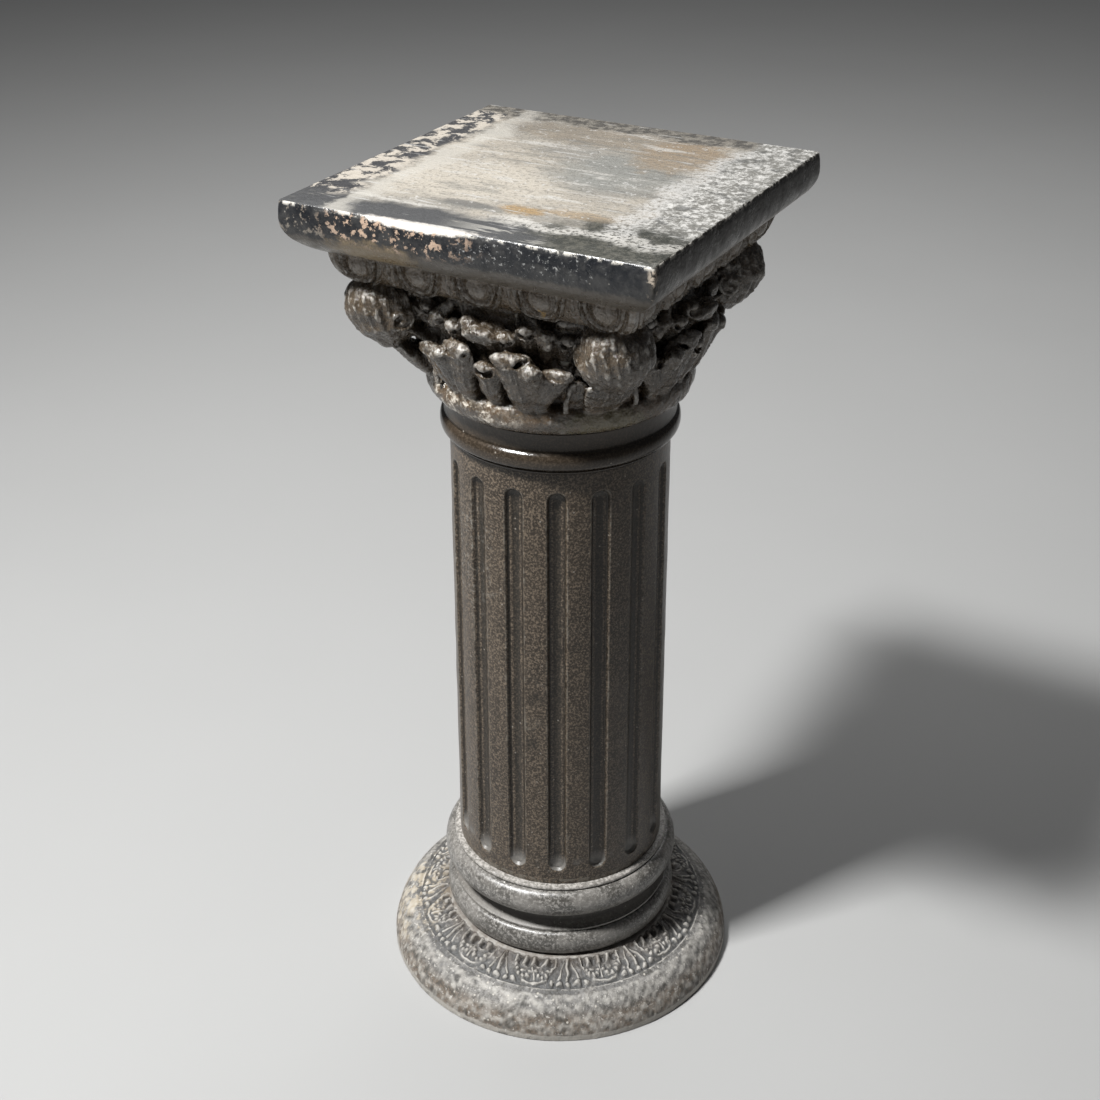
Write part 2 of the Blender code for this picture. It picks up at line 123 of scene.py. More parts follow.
# Ring at the capital's foot, then the bell behind the leaves, as (radius, z)
CAPITAL_RING = [
    (0.124, 0.6953), (0.1287, 0.7002), (0.1312, 0.7068), (0.1315, 0.713), (0.1298, 0.7194),
    (0.125, RING_TOP_Z),
]
BELL = [
    (0.1195, 0.724), (0.121, 0.74), (0.1235, 0.76), (0.1265, 0.78), (0.131, 0.8), (0.136, 0.8165),
    (0.136, 0.855),
]
EGG_BAND_FOOT_Z = 0.8165
EGG_BAND_FOOT_HALF = 0.129
EGG_BAND_TOP_HALF = 0.156
SLAB_FOOT_Z = 0.849
SLAB_CORNER_RADIUS = 0.0026
# Side of the slab from its foot up, as (half width, z)
SLAB_SIDE = [
    (0.156, 0.848), (0.158, 0.849), (0.169, 0.8553), (0.1778, 0.8628),
    (0.1832, 0.8715), (0.1852, 0.88), (0.185, 0.89), (0.184, 0.8985),
]
SLAB_EDGE = [(0.1832, 0.8996), (0.1822, SLAB_TOP_Z), (0.179, SLAB_TOP_Z), (0.17, SLAB_TOP_Z)]
EGG_PITCH = 0.062
SCROLL_REACH = 0.171
SCROLL_Z = 0.7915
# Grid of the capital's skin, and the most triangles that the piece may keep
VOXEL = 0.0013
CAPITAL_TRIANGLES = 192000

# Camera, fitted to the photograph
CAMERA_AZIMUTH = 28.41
CAMERA_PITCH = 29.617
CAMERA_REACH = 1.4853
CAMERA_HEIGHT = 1.3478
CAMERA_LENS = 53.96
CAMERA_SHIFT_X = -0.0095

chance = np.random.default_rng(4)
LATTICE = chance.random((64, 64, 64)) * 2.0 - 1.0


# Shapes
def soft_noise(points, cell):
    """Smooth noise from -1 to 1 at an array of points, with features of about this size."""
    flat = np.asarray(points, float).reshape(-1, 3) / cell
    low = np.floor(flat).astype(int)
    part = flat - low
    part = part * part * (3.0 - 2.0 * part)
    total = np.zeros(len(flat))
    for corner in itertools.product((0, 1), repeat=3):
        weight = np.prod(np.where(corner, part, 1.0 - part), axis=1)
        i, j, k = ((low + np.array(corner)) % 64).T
        total += weight * LATTICE[i, j, k]
    return total.reshape(np.asarray(points).shape[:-1])


def rough_noise(points, cell, octaves=4):
    """Noise with ever finer features, halved in size and in height each time."""
    total = 0.0
    for k in range(octaves):
        total = total + soft_noise(np.asarray(points) + 0.37 * k, cell / 2**k) / 2**k
    return total


def smooth_step(values, low, high):
    share = np.clip((values - low) / (high - low), 0.0, 1.0)
    return share * share * (3.0 - 2.0 * share)


def ridge(distance, half_width):
    """1 on a line and 0 well away from it."""
    return np.exp(-((distance / half_width) ** 2))


def unit(directions):
    """Vectors along the last axis, made 1 long."""
    return directions / np.linalg.norm(directions, axis=-1, keepdims=True)


def polar(radius, degrees, z):
    turn = np.radians(degrees)
    radius, turn, z = np.broadcast_arrays(radius, turn, z)
    return np.stack([radius * np.sin(turn), -radius * np.cos(turn), z], axis=-1)


def closed_grid(rows):
    """Points and faces of a closed solid: rows of points that close round, with a fan over each end."""
    count, columns = rows.shape[:2]
    points = np.concatenate([rows.reshape(-1, 3), [rows[0].mean(axis=0), rows[-1].mean(axis=0)]])
    here = np.arange(columns)
    there = (here + 1) % columns
    faces = []
    for row in range(count - 1):
        low, high = row * columns, (row + 1) * columns
        faces += np.stack([low + here, low + there, high + there, high + here], axis=1).tolist()
    first, last = count * columns, (count - 1) * columns
    faces += np.stack([there, here, np.full(columns, first)], axis=1).tolist()
    faces += np.stack([last + here, last + there, np.full(columns, first + 1)], axis=1).tolist()
    return points, faces


def joined(shapes):
    """Several (points, faces) as one."""
    points, faces, start = [], [], 0
    for shape_points, shape_faces in shapes:
        points.append(np.asarray(shape_points))
        faces += [[start + i for i in face] for face in shape_faces]
        start += len(shape_points)
    return np.concatenate(points), faces


def mesh_object(name, shape, crease=None):
    points, faces = shape
    mesh = bpy.data.meshes.new(name)
    mesh.from_pydata(points.tolist(), [], faces)
    mesh.shade_smooth()
    if crease:
        mesh.set_sharp_from_angle(angle=math.radians(crease))
    made = bpy.data.objects.new(name, mesh)
    bpy.context.scene.collection.objects.link(made)
    return made


def settle_modifiers(made):
    """Puts what the modifiers make in the place of the mesh."""
    graph = bpy.context.evaluated_depsgraph_get()
    seen = made.evaluated_get(graph)
    mesh = bpy.data.meshes.new_from_object(seen, preserve_all_data_layers=True, depsgraph=graph)
    made.modifiers.clear()
    made.data = mesh
    return made


def vectors(items, label):
    """One vector of every vertex or face, as rows of three."""
    values = np.empty(len(items) * 3)
    items.foreach_get(label, values)
    return values.reshape(-1, 3)


def move_points(mesh, points):
    mesh.vertices.foreach_set("co", points.ravel())
    mesh.update()


def surface_marks(made, wide_steps):
    """Stores how far each point stands out of its surroundings: close by (crest) and broadly (hollow)."""
    mesh = made.data
    count = len(mesh.vertices)
    points, normals = vectors(mesh.vertices, "co"), vectors(mesh.vertices, "normal")
    ends = np.empty(len(mesh.edges) * 2, int)
    mesh.edges.foreach_get("vertices", ends)
    a, b = ends.reshape(-1, 2).T
    degree = np.maximum(np.bincount(a, minlength=count) + np.bincount(b, minlength=count), 1)

    def averaged(values):
        total = [
            np.bincount(a, values[b, k], count) + np.bincount(b, values[a, k], count)
            for k in range(values.shape[1])
        ]
        return np.stack(total, axis=1) / degree[:, None]

    relaxed = points
    for step in range(wide_steps):
        relaxed = averaged(relaxed)
        if step == 1:
            near = relaxed
    for label, moved in (("crest", near), ("hollow", relaxed)):
        height = ((points - moved) * normals).sum(axis=1, keepdims=True)
        height = averaged(height)[:, 0]
        attribute = mesh.attributes.new(label, "FLOAT", "POINT")
        attribute.data.foreach_set("value", (height * 1000.0).astype(np.float32))


def finish_piece(made, node, materials, wide_steps=14):
    surface_marks(made, wide_steps)
    for material in materials:
        made.data.materials.append(material)
    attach(made, "root")
    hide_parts(node)


def half_round(foot, top, reach, steps):
    """A half-round moulding's profile from (radius, z) to (radius, z), swelling out to this radius."""
    share = np.linspace(0.0, 1.0, steps + 1)
    middle = (foot[0] + top[0]) / 2.0
    radius = foot[0] + (top[0] - foot[0]) * share + (reach - middle) * np.sin(np.pi * share)
    z = (foot[1] + top[1]) / 2.0 - (top[1] - foot[1]) / 2.0 * np.cos(np.pi * share)
    return np.stack([radius, z], axis=1)


def smooth_line(stations, count):
    """A smooth curve through these stations, which may have any number of values each."""
    knots = np.asarray(stations, float)
    padded = np.concatenate([[2 * knots[0] - knots[1]], knots, [2 * knots[-1] - knots[-2]]])
    place = np.linspace(0.0, len(knots) - 1.0, count)
    index = np.minimum(place.astype(int), len(knots) - 2)
    t = (place - index)[:, None]
    p0, p1, p2, p3 = (padded[index + k] for k in range(4))
    return 0.5 * (
        2 * p1 + (p2 - p0) * t + (2 * p0 - 5 * p1 + 4 * p2 - p3) * t**2 + (3 * p1 - p0 - 3 * p2 + p3) * t**3
    )


def lathe(profile, degrees):
    """Rows of points round the axis from (radius, z)."""
    return polar(profile[:, :1], degrees[None, :], profile[:, 1:])


def pushed_out(rows, degrees, amount):
    """Rows of points moved straight out from the column's axis by these amounts."""
    return rows + polar(1.0, degrees[None, :], 0.0) * amount[..., None]


def turned(profile, columns, uneven=0.0, cell=0.02):
    """A turned solid from rows of (radius, z), with a slight unevenness."""
    degrees = np.arange(columns) * 360.0 / columns
    rows = lathe(profile, degrees)
    return closed_grid(pushed_out(rows, degrees, uneven * (rough_noise(rows, cell) - 1.0)))


def square_side(wide, out, quarter, z):
    """Points of one side of a square: this far along it from its middle, and this far out."""
    turn = math.radians(90.0 * quarter)
    x = wide * math.cos(turn) + out * math.sin(turn)
    y = wide * math.sin(turn) - out * math.cos(turn)
    return np.stack([x, y, np.broadcast_to(z, x.shape)], axis=-1)


# Disc
def disc_top(radius):
    slope = (DISC_TOP_Z - DISC_SHOULDER_Z) / (DISC_SHOULDER_RADIUS - DISC_SEAT_RADIUS)
    return DISC_TOP_Z - slope * np.maximum(0.0, radius - DISC_SEAT_RADIUS)


def leaf_ring_relief(radius, degrees):
    """Height of the low leaves from -1 to 1: palmettes with beads at their tips, and shells between."""
    # Lengths in here are millimetres, save the cells of the noise
    tile = 360.0 / LEAF_RING_COUNT
    wide = math.radians(tile) * (LEAF_RING_IN + LEAF_RING_OUT) / 2.0 * 1000.0
    share = (degrees - LEAF_RING_TURN) / tile
    across_leaf = (share - np.round(share)) * wide
    across_shell = (share - np.floor(share) - 0.5) * wide
    up = (radius - LEAF_RING_IN) * 1000.0
    place = polar(radius, degrees, 0.0)
    drift = 2.2 * rough_noise(place, 0.012, 2)
    across_leaf, across_shell = across_leaf + drift, across_shell + drift
    up = up + 1.3 * rough_noise(place + 0.5, 0.01, 2)
    reach = np.hypot(across_leaf, up + 6.0)
    spread = np.degrees(np.arctan2(across_leaf, up + 6.0))
    inside = smooth_step(29.0 - np.abs(spread), 0.0, 4.0) * smooth_step(33.5 - reach, 0.0, 2.5)
    height = -0.5 + inside * (0.2 + 0.8 * np.cos(np.radians(spread * 360.0 / 19.0)))
    height = np.maximum(height, ridge(across_leaf, 1.9) * smooth_step(27.0 - up, 0.0, 4.0))
    for k in (-2, -1, 0, 1, 2):
        bead = np.hypot(across_leaf - 8.8 * k, up - 28.2 + 0.5 * k * k)
        height = np.maximum(height, 1.3 * ridge(bead, 3.5) - 0.25)
    arc = np.hypot(across_shell, up - 6.0)
    shell = smooth_step(22.5 - arc, 0.0, 2.0)
    height = np.where(arc < 22.5, (1.0 - shell) * height - 0.45 * shell, height)
    height = np.maximum(height, 0.45 * ridge(arc - 22.0, 1.7) * smooth_step(up, 5.0, 10.0))
    for side in (-1.0, 1.0):
        cup = np.hypot(across_shell - side * 9.8, (up - 14.5) * 0.95)
        turn = np.degrees(np.arctan2(across_shell - side * 9.8, up - 14.5))
        low = smooth_step(up, 11.0, 15.0)
        ribs = 0.75 + 0.25 * np.cos(np.radians(turn * 9.0))
        height = np.maximum(height, 1.05 * ribs * ridge(cup - 7.0, 2.9) * low)
        height = np.maximum(height, 0.35 * ridge(cup - 1.5, 2.4) * low)
    spine = ridge(across_shell, 1.3) * smooth_step(up, 9.0, 12.0) * smooth_step(27.0 - up, 0.0, 3.0)
    height = np.maximum(height, 0.8 * spine)
    pillars = 0.8 * np.cos(2.0 * np.pi * across_shell / 12.4) - 0.1
    row = smooth_step(11.0 - up, 0.0, 5.0) * smooth_step(25.0 - np.abs(across_shell), 0.0, 2.0)
    height = row * pillars + (1.0 - row) * height
    return height + 0.22 * rough_noise(place, 0.006, 2)


def disc_piece():
    turn = np.linspace(0.0, math.pi / 2.0, 22)
    rim_radius = DISC_SHOULDER_RADIUS + (DISC_RADIUS - DISC_SHOULDER_RADIUS) * np.cos(turn) ** DISC_ROUNDING
    rim_z = DISC_BELLY_Z + (DISC_SHOULDER_Z - DISC_BELLY_Z) * np.sin(turn) ** DISC_ROUNDING
    rim = np.stack([rim_radius, rim_z], axis=1)[:-1]
    rim = np.concatenate([[[DISC_RADIUS - 0.0012, 0.0], [DISC_RADIUS, 0.0012]], rim])
    cone_radius = np.arange(DISC_SHOULDER_RADIUS, DISC_SEAT_RADIUS, -0.0008)
    profile = np.concatenate([rim, np.stack([cone_radius, disc_top(cone_radius)], axis=1)])
    profile = np.concatenate([profile, [[DISC_SEAT_RADIUS, DISC_TOP_Z], [0.11, DISC_TOP_Z]]])
    degrees = np.arange(1200) * 0.3
    rows = lathe(profile, degrees)
    radius = np.broadcast_to(profile[:, :1], rows.shape[:2])
    within = smooth_step(radius, LEAF_RING_IN, LEAF_RING_IN + 0.0015)
    within = within * smooth_step(-radius, -LEAF_RING_OUT, -LEAF_RING_OUT + 0.0015)
    relief = leaf_ring_relief(radius, np.broadcast_to(degrees[None, :], radius.shape))
    rows[..., 2] += within * (LEAF_RING_RISE * relief - LEAF_RING_SINK)
    below = smooth_step(radius, DISC_SEAT_RADIUS, DISC_SEAT_RADIUS + 0.002)
    wear = 0.00022 * (rough_noise(rows, 0.006) - 1.2) + 0.0005 * (rough_noise(rows, 0.05, 2) - 1.0)
    rows = pushed_out(rows, degrees, wear * smooth_step(radius, LEAF_RING_OUT, DISC_RADIUS - 0.006))
    on_top = below * (rows[..., 2] > 0.001)
    rows[..., 2] += on_top * (0.00025 * rough_noise(rows, 0.006) - 0.0003)
    rows[..., 2] = np.minimum(rows[..., 2], DISC_TOP_Z)
    made = mesh_object("disc_carved", closed_grid(rows), 50)
    finish_piece(made, "plinth_disc", [disc_look()], 10)


# Moulded base
def base_piece():
    low, high = LOWER_TORUS_TOP_Z, UPPER_TORUS_TOP_Z
    profile = [half_round((0.1213, BASE_FOOT_Z), (0.1213, low), 0.1297, 22)]
    profile += [[(0.1196, low + 0.0002), (0.1196, low + 0.001), (0.1219, low + 0.0012)]]
    profile += [[(0.122, low + 0.0022), (0.1218, low + 0.0034)]]
    profile += [smooth_line(SCOTIA, 16)]
    profile += [half_round((0.119, UPPER_TORUS_FOOT_Z), (0.1193, high), 0.1307, 22)]
    profile += [[(0.1172, high + 0.0003), (0.1172, high + 0.0012), (0.1199, high + 0.0014)]]
    profile += [[(0.1202, high + 0.002), (0.1199, BASE_TOP_Z - 0.0012), (0.119, BASE_TOP_Z - 0.0003)]]
    profile += [[(0.115, BASE_TOP_Z), (0.1, BASE_TOP_Z)]]
    shape = turned(np.concatenate(profile), 480, 0.00016, 0.012)
    made = mesh_object("base_turned", shape, 40)
    finish_piece(made, "base_moulding", [base_look()], 8)


# Shaft
def flute_depth(from_middle, z):
    """Depth of a steep-walled, round-ended flute at these distances from its middle line."""
    half = FLUTE_WIDTH / 2.0
    past_end = np.maximum(np.maximum(FLUTE_FOOT_Z + half - z, z - FLUTE_TOP_Z + half), 0.0)
    inside = half - np.hypot(from_middle, past_end)
    wall = 0.62 * smooth_step(inside, -0.0002, 0.0026) + 0.38 * smooth_step(inside, 0.001, 0.009)
    groove = 0.0007 * ridge(inside - 0.003, 0.0009)
    return FLUTE_DEPTH * (0.9 * wall + 0.1 * smooth_step(inside, 0.002, half)) + groove


def shaft_piece():
    half = FLUTE_WIDTH / 2.0
    in_flute = half * np.array([0.0, 0.25, 0.45, 0.6, 0.7, 0.78, 0.85, 0.91, 0.96, 1.0, 1.06])
    pitch = 2.0 * math.pi * SHAFT_FOOT_RADIUS / FLUTE_COUNT
    land = np.linspace(1.12 * half, pitch - 1.12 * half, 18)
    across = np.concatenate([-in_flute[:0:-1], in_flute, land])
    degrees = np.degrees(across / SHAFT_FOOT_RADIUS)
    turns = 360.0 * np.arange(FLUTE_COUNT) / FLUTE_COUNT + FLUTE_TURN
    degrees = (turns[:, None] + degrees[None, :]).ravel()
    ends = half * np.array([-0.1, 0.0, 0.04, 0.09, 0.15, 0.22, 0.3, 0.4, 0.5, 0.62, 0.76, 0.9, 1.05])
    middle = np.arange(FLUTE_FOOT_Z + 1.6 * half, FLUTE_TOP_Z - 1.4 * half, 0.008)
    foot = np.linspace(SHAFT_FOOT_Z, FLUTE_FOOT_Z - 0.002, 8)
    head = np.linspace(FLUTE_TOP_Z + 0.002, SHAFT_HEAD_Z, 10)
    z = np.concatenate([foot, FLUTE_FOOT_Z + ends, middle, FLUTE_TOP_Z - ends[::-1], head])
    taper = (SHAFT_HEAD_RADIUS - SHAFT_FOOT_RADIUS) / (SHAFT_HEAD_Z - SHAFT_FOOT_Z)
    radius = SHAFT_FOOT_RADIUS + taper * (z - SHAFT_FOOT_Z)
    half_tile = 180.0 / FLUTE_COUNT
    from_middle = np.radians((degrees - FLUTE_TURN + half_tile) % (2.0 * half_tile) - half_tile)
    depth = flute_depth(from_middle[None, :] * radius[:, None], z[:, None])
    rows = polar(radius[:, None] - depth, degrees[None, :], z[:, None])
    rows = pushed_out(rows, degrees, 0.0003 * (rough_noise(rows, 0.03) - 1.0))
    fillet = SHAFT_HEAD_RADIUS + 0.0008
    foot_z = SHAFT_HEAD_Z
    necking = [[(SHAFT_HEAD_RADIUS - 0.0012, foot_z + 0.0003), (fillet - 0.0012, foot_z + 0.0008)]]
    necking += [half_round((fillet, foot_z + 0.001), (fillet, foot_z + 0.0042), fillet + 0.0016, 6)]
    necking += [[(fillet - 0.001, foot_z + 0.0048)]]
    necking += [smooth_line(NECKING_BEAD, 34)]
    necking += [[(0.115, SHAFT_TOP_Z - 0.0004), (0.1142, SHAFT_TOP_Z), (0.1, SHAFT_TOP_Z)]]
    head = lathe(np.concatenate(necking), degrees)
    made = mesh_object("shaft_fluted", closed_grid(np.concatenate([rows, head])), 38)
    finish_piece(made, "fluted_shaft", [shaft_look()], 8)


# Capital
def leaf(stations, half_width, ribs, rib_depth, crown, foot, droop, body, lean=0.0):
    """A closed leaf along stations of (reach, degrees, z), with ribs and a scalloped top edge."""
    rows, columns = 40, 33
    steps = np.linspace(0.0, 1.0, 160)
    dense = smooth_line([polar(*station) for station in stations], len(steps))
    up = np.linspace(0.0, 1.0, rows)[:, None]
    across = np.sin(np.linspace(-np.pi / 2.0, np.pi / 2.0, columns))[None, :]
    fine = np.cos(np.pi * ribs * across)
    lobes = np.cos(np.pi * (ribs // 2 + 0.5) * (across + 0.13))
    place = up * (1.0 - droop * across**2 + 0.016 * lobes * smooth_step(up, 0.5, 1.0))
    place = np.clip(place, 0.0, 1.0)

    def along(values):
        return np.stack([np.interp(place, steps, values[:, k]) for k in range(values.shape[1])], axis=-1)

    ahead = unit(np.gradient(dense, axis=0))
    turn = np.arctan2(dense[:, 0], -dense[:, 1]) + math.radians(lean)
    sideways = np.stack([np.cos(turn), np.sin(turn), np.zeros(len(steps))], axis=1)
    outward = unit(np.cross(sideways, ahead))
    half = half_width * (foot + (1.0 - foot) * np.sin(np.pi / 2.0 * np.minimum(place / 0.7, 1.0)))
    round_over = np.sqrt(np.maximum(1.0 - across**4, 0.0))
    closing = np.sqrt(np.maximum(1.0 - up**8, 0.0))
    waves = 0.55 * fine + 0.35 * np.cos(1.7 * np.pi * ribs * across + 3.0 * up) + 0.5 * lobes * up
    waves = waves * smooth_step(up, 0.02, 0.25) * (1.0 - 0.85 * smooth_step(up, 0.74, 0.92))
    waves = waves * (1.0 - across**8)
    swell = crown * half_width * (1.0 - across**2) * (0.55 + 0.85 * up) + rib_depth * waves
    middle = along(dense) + along(sideways) * (half * across)[..., None]
    lip = 0.0018 + 0.0028 * ridge(up - 0.93, 0.09)
    front = middle + along(outward) * ((swell + lip * round_over) * closing)[..., None]
    behind = (0.0018 + body * (1.0 - up) ** 1.2) * round_over * closing
    back = middle - along(outward) * behind[..., None]
    return closed_grid(np.concatenate([front, back[:, -2:0:-1]], axis=1))


def rod(line, thickness, sides=8):
    """A closed rod along points, of this radius or these radii."""
    line = np.asarray(line, float)
    ahead = unit(np.gradient(line, axis=0))
    side = unit(np.cross(ahead, (0.31, 0.43, 0.85)))
    other = np.cross(ahead, side)
    turn = np.arange(sides) * 2.0 * np.pi / sides
    around = side[:, None, :] * np.cos(turn)[None, :, None] + other[:, None, :] * np.sin(turn)[None, :, None]
    radii = np.broadcast_to(np.asarray(thickness, float), (len(line),))
    return closed_grid(line[:, None, :] + around * radii[:, None, None])


def spiral(centre, sideways, upward, first, last, turns, start=0.0):
    """Points of a flat spiral round a centre, from its outer end to its inner one."""
    share = np.linspace(0.0, 1.0, 40)[:, None]
    turn = start + share * turns * 2.0 * np.pi
    radius = first + (last - first) * share
    return centre + (sideways * np.cos(turn) + upward * np.sin(turn)) * radius


def corner_scroll(corner):
    """The curled leaf end under a corner of the slab: a lumpy ball with ribs that meet at its lower tip."""
    axis = polar(1.0, corner + 90.0, 0.0)
    outward = polar(1.0, corner, 0.0)
    upward = np.array([0.0, 0.0, 1.0])
    centre = polar(SCROLL_REACH, corner, SCROLL_Z)
    stations = [(0.0325, 0.1), (0.0318, 0.42), (0.0275, 0.72), (0.018, 0.93), (0.005, 1.0)]
    stations += [(-0.009, 0.96), (-0.021, 0.82), (-0.031, 0.57), (-0.0375, 0.3), (-0.0405, 0.08)]
    line = smooth_line(stations, 60)[::-1]
    turn = np.radians(np.arange(144) * 2.5)[None, :]
    ribs = np.cos(20.0 * turn + 5.0 * line[:, :1] / 0.04)
    wide = line[:, 1:] * (1.0 + 0.028 * ribs * smooth_step(line[:, 1:], 0.2, 0.7))
    tip = -0.006 * smooth_step(-line[:, :1], 0.0, 0.04)
    ball = centre + upward * line[:, :1, None]
    ball = ball + axis * (0.0335 * wide * np.sin(turn))[..., None]
    ball = ball + outward * (0.0345 * wide * np.cos(turn) + tip)[..., None]
    ball = ball + unit(ball - centre) * (0.0024 * (rough_noise(ball, 0.013, 3) - 0.3))[..., None]
    shapes = [closed_grid(ball)]
    for side in (-1.0, 1.0):
        eye = centre + axis * side * 0.0315 - outward * 0.01 - upward * 0.004
        snail = spiral(eye, outward, upward, 0.012, 0.002, 1.5, 2.2)
        shapes.append(rod(snail, np.linspace(0.0022, 0.003, 40)))
    return shapes


# Leaves of one side of the capital. Each has its stations as (reach, degrees from the side's middle, z), its
# sizes as (half width, ribs, depth of the ribs, crown, foot, droop, body), and its lean in degrees.
CORNER_LEAVES = [
    (
        [(0.118, 45, 0.714), (0.134, 45, 0.727), (0.1455, 45, 0.739), (0.154, 45, 0.749), (0.16, 45, 0.758),
         (0.163, 45, 0.759)], (0.0235, 9, 0.0018, 0.2, 0.6, 0.22, 0.022), 0,
    ),
    (
        [(0.115, 45, 0.748), (0.135, 45, 0.76), (0.15, 45, 0.772), (0.16, 45, 0.78)],
        (0.027, 7, 0.0014, 0.1, 0.9, 0.05, 0.022), 0,
    ),
    (
        [(0.112, 45, 0.77), (0.128, 45, 0.786), (0.145, 45, 0.796), (0.168, 45, 0.808)],
        (0.03, 5, 0.0014, 0.25, 0.8, 0.05, 0.03), 0,
    ),
]
SIDE_LEAVES = [
    (
        [(0.119, 14, 0.714), (0.131, 13.4, 0.735), (0.1375, 12.4, 0.755), (0.142, 11.4, 0.771),
         (0.1475, 10.6, 0.7785), (0.1525, 10.2, 0.7765), (0.154, 10, 0.77)],
        (0.0215, 9, 0.0026, 0.42, 0.42, 0.46, 0.012), 10,
    ),
    (
        [(0.12, 19.4, 0.72), (0.137, 18.6, 0.744), (0.1455, 18.2, 0.76), (0.151, 18, 0.768),
         (0.1555, 18, 0.767), (0.157, 18, 0.761)], (0.0125, 5, 0.0012, 0.55, 0.55, 0.42, 0.014), -8,
    ),
    (
        [(0.119, 18.6, 0.714), (0.13, 20.4, 0.73), (0.137, 23.4, 0.746), (0.1405, 26, 0.758),
         (0.1445, 27.2, 0.7635), (0.147, 27.8, 0.762), (0.1475, 28, 0.758)],
        (0.018, 7, 0.0024, 0.3, 0.4, 0.46, 0.014), -12,
    ),
    (
        [(0.127, 15.4, 0.808), (0.133, 17.2, 0.81), (0.1385, 19.4, 0.806), (0.143, 21.6, 0.7985),
         (0.1455, 23.4, 0.7905), (0.145, 24, 0.785)], (0.01, 3, 0.001, 0.55, 0.6, 0.4, 0.01), -25,
    ),
    (
        [(0.12, 22, 0.768), (0.1275, 22.4, 0.784), (0.135, 22.6, 0.794), (0.141, 22.8, 0.795),
         (0.143, 23, 0.79)], (0.0135, 5, 0.0013, 0.5, 0.6, 0.42, 0.014), 0,
    ),
    (
        [(0.117, 31, 0.758), (0.126, 31.4, 0.778), (0.135, 32.4, 0.795), (0.143, 33.6, 0.808),
         (0.152, 34.6, 0.817)], (0.019, 7, 0.0012, 0.12, 0.7, 0.12, 0.016), -14,
    ),
]
ARCH_LEAVES = [
    (
        [(0.119, 35.2, 0.715), (0.129, 35.2, 0.732), (0.1345, 35.2, 0.75)],
        (0.012, 3, 0.0008, 0.1, 0.8, 0.2, 0.012), 0,
    ),
]
MIDDLE_LEAVES = [
    (
        [(0.119, 0, 0.714), (0.13, 0, 0.736), (0.135, 0, 0.75), (0.14, 0, 0.76), (0.1455, 0, 0.763),
         (0.148, 0, 0.759)], (0.015, 5, 0.0012, 0.5, 0.5, 0.44, 0.016), 0,
    ),
    (
        [(0.115, 0, 0.806), (0.129, 0, 0.8), (0.139, 0, 0.795), (0.1465, 0, 0.795), (0.15, 0, 0.8),
         (0.1508, 0, 0.8055)], (0.021, 7, 0.0008, 0.34, 0.7, 0.4, 0.008), 0,
    ),
    ([(0.115, 0, 0.77), (0.124, 0, 0.782), (0.133, 0, 0.794)], (0.012, 3, 0.001, 0.3, 0.8, 0.05, 0.012), 0),
]


def leaves(made, face, mirror=1.0):
    """The leaves of such a list on one side of the capital, or their mirror images."""
    shapes = []
    for stations, sizes, lean in made:
        placed = [(reach, face + mirror * degrees, z) for reach, degrees, z in stations]
        shapes.append(leaf(placed, *sizes, lean=mirror * lean))
    return shapes


def stalks(face, mirror):
    """Rods between the leaves: a stalk with two forks, and an arch."""

    def at(reach, degrees, z):
        return polar(reach, face + mirror * degrees, z)

    stalk = smooth_line([at(0.1225, 10.6, 0.777), at(0.1285, 10.9, 0.788), at(0.137, 12.4, 0.82)], 16)
    shapes = [rod(stalk, np.linspace(0.0036, 0.0026, 16))]
    for spread in (-3.6, 3.4):
        fork = smooth_line([at(0.123, 10.6 + spread, 0.774), at(0.127, 10.9, 0.786)], 8)
        shapes.append(rod(fork, 0.0024))
    turn = np.linspace(0.0, np.pi, 24)
    arch_z = RING_TOP_Z - 0.002 + 0.031 * np.sin(turn)
    arch = at(0.133 + 0.004 * np.sin(turn), 35.2 - 4.7 * np.cos(turn), arch_z)
    shapes.append(rod(arch, 0.003))
    return shapes


def sector(face):
    """What one side of the capital carries, from the middle of its left corner to that of its right one."""
    shapes = corner_scroll(face + 45.0) + leaves(CORNER_LEAVES, face)
    for mirror in (-1.0, 1.0):
        shapes += leaves(SIDE_LEAVES, face, mirror) + stalks(face, mirror)
        shapes += leaves(ARCH_LEAVES, face, mirror)
        bud = polar(0.127, face + mirror * 30.0, 0.768)
        shapes.append(rod([bud, bud * 1.05], 0.0022))
    for k in range(11):
        where = face - 37.5 + 7.5 * k
        foot_z = 0.76 + 0.004 * ((k * 5) % 3)
        behind = [(0.119, where, foot_z), (0.132, where + 0.6, foot_z + 0.019)]
        behind += [(0.1405, where + 1.0, foot_z + 0.032), (0.147, where + 1.2, foot_z + 0.0355)]
        behind += [(0.149, where + 1.3, foot_z + 0.031)]
        shapes.append(leaf(behind, 0.011, 5, 0.0014, 0.55, 0.6, 0.42, 0.016, 8.0 * (k % 3 - 1)))
    return shapes + leaves(MIDDLE_LEAVES, face)


def capital_carving():
    """Ring, bell, leaves and scrolls as one skin."""
    foot = [(0.11, CAPITAL_FOOT_Z), (0.1176, CAPITAL_FOOT_Z)]
    ring = [(0.1184, CAPITAL_FOOT_Z + 0.0006), *CAPITAL_RING]
    profile = np.concatenate([foot, smooth_line(ring, 30), BELL])
    shapes = [turned(profile, 240)]
    for quarter in range(4):
        shapes += sector(90.0 * quarter)
    made = mesh_object("capital_carved", joined(shapes))
    skin = made.modifiers.new("skin", "REMESH")
    skin.mode = "VOXEL"
    skin.voxel_size = VOXEL
    ease = made.modifiers.new("ease", "SMOOTH")
    ease.factor = 0.5
    ease.iterations = 2
    return settle_modifiers(made)


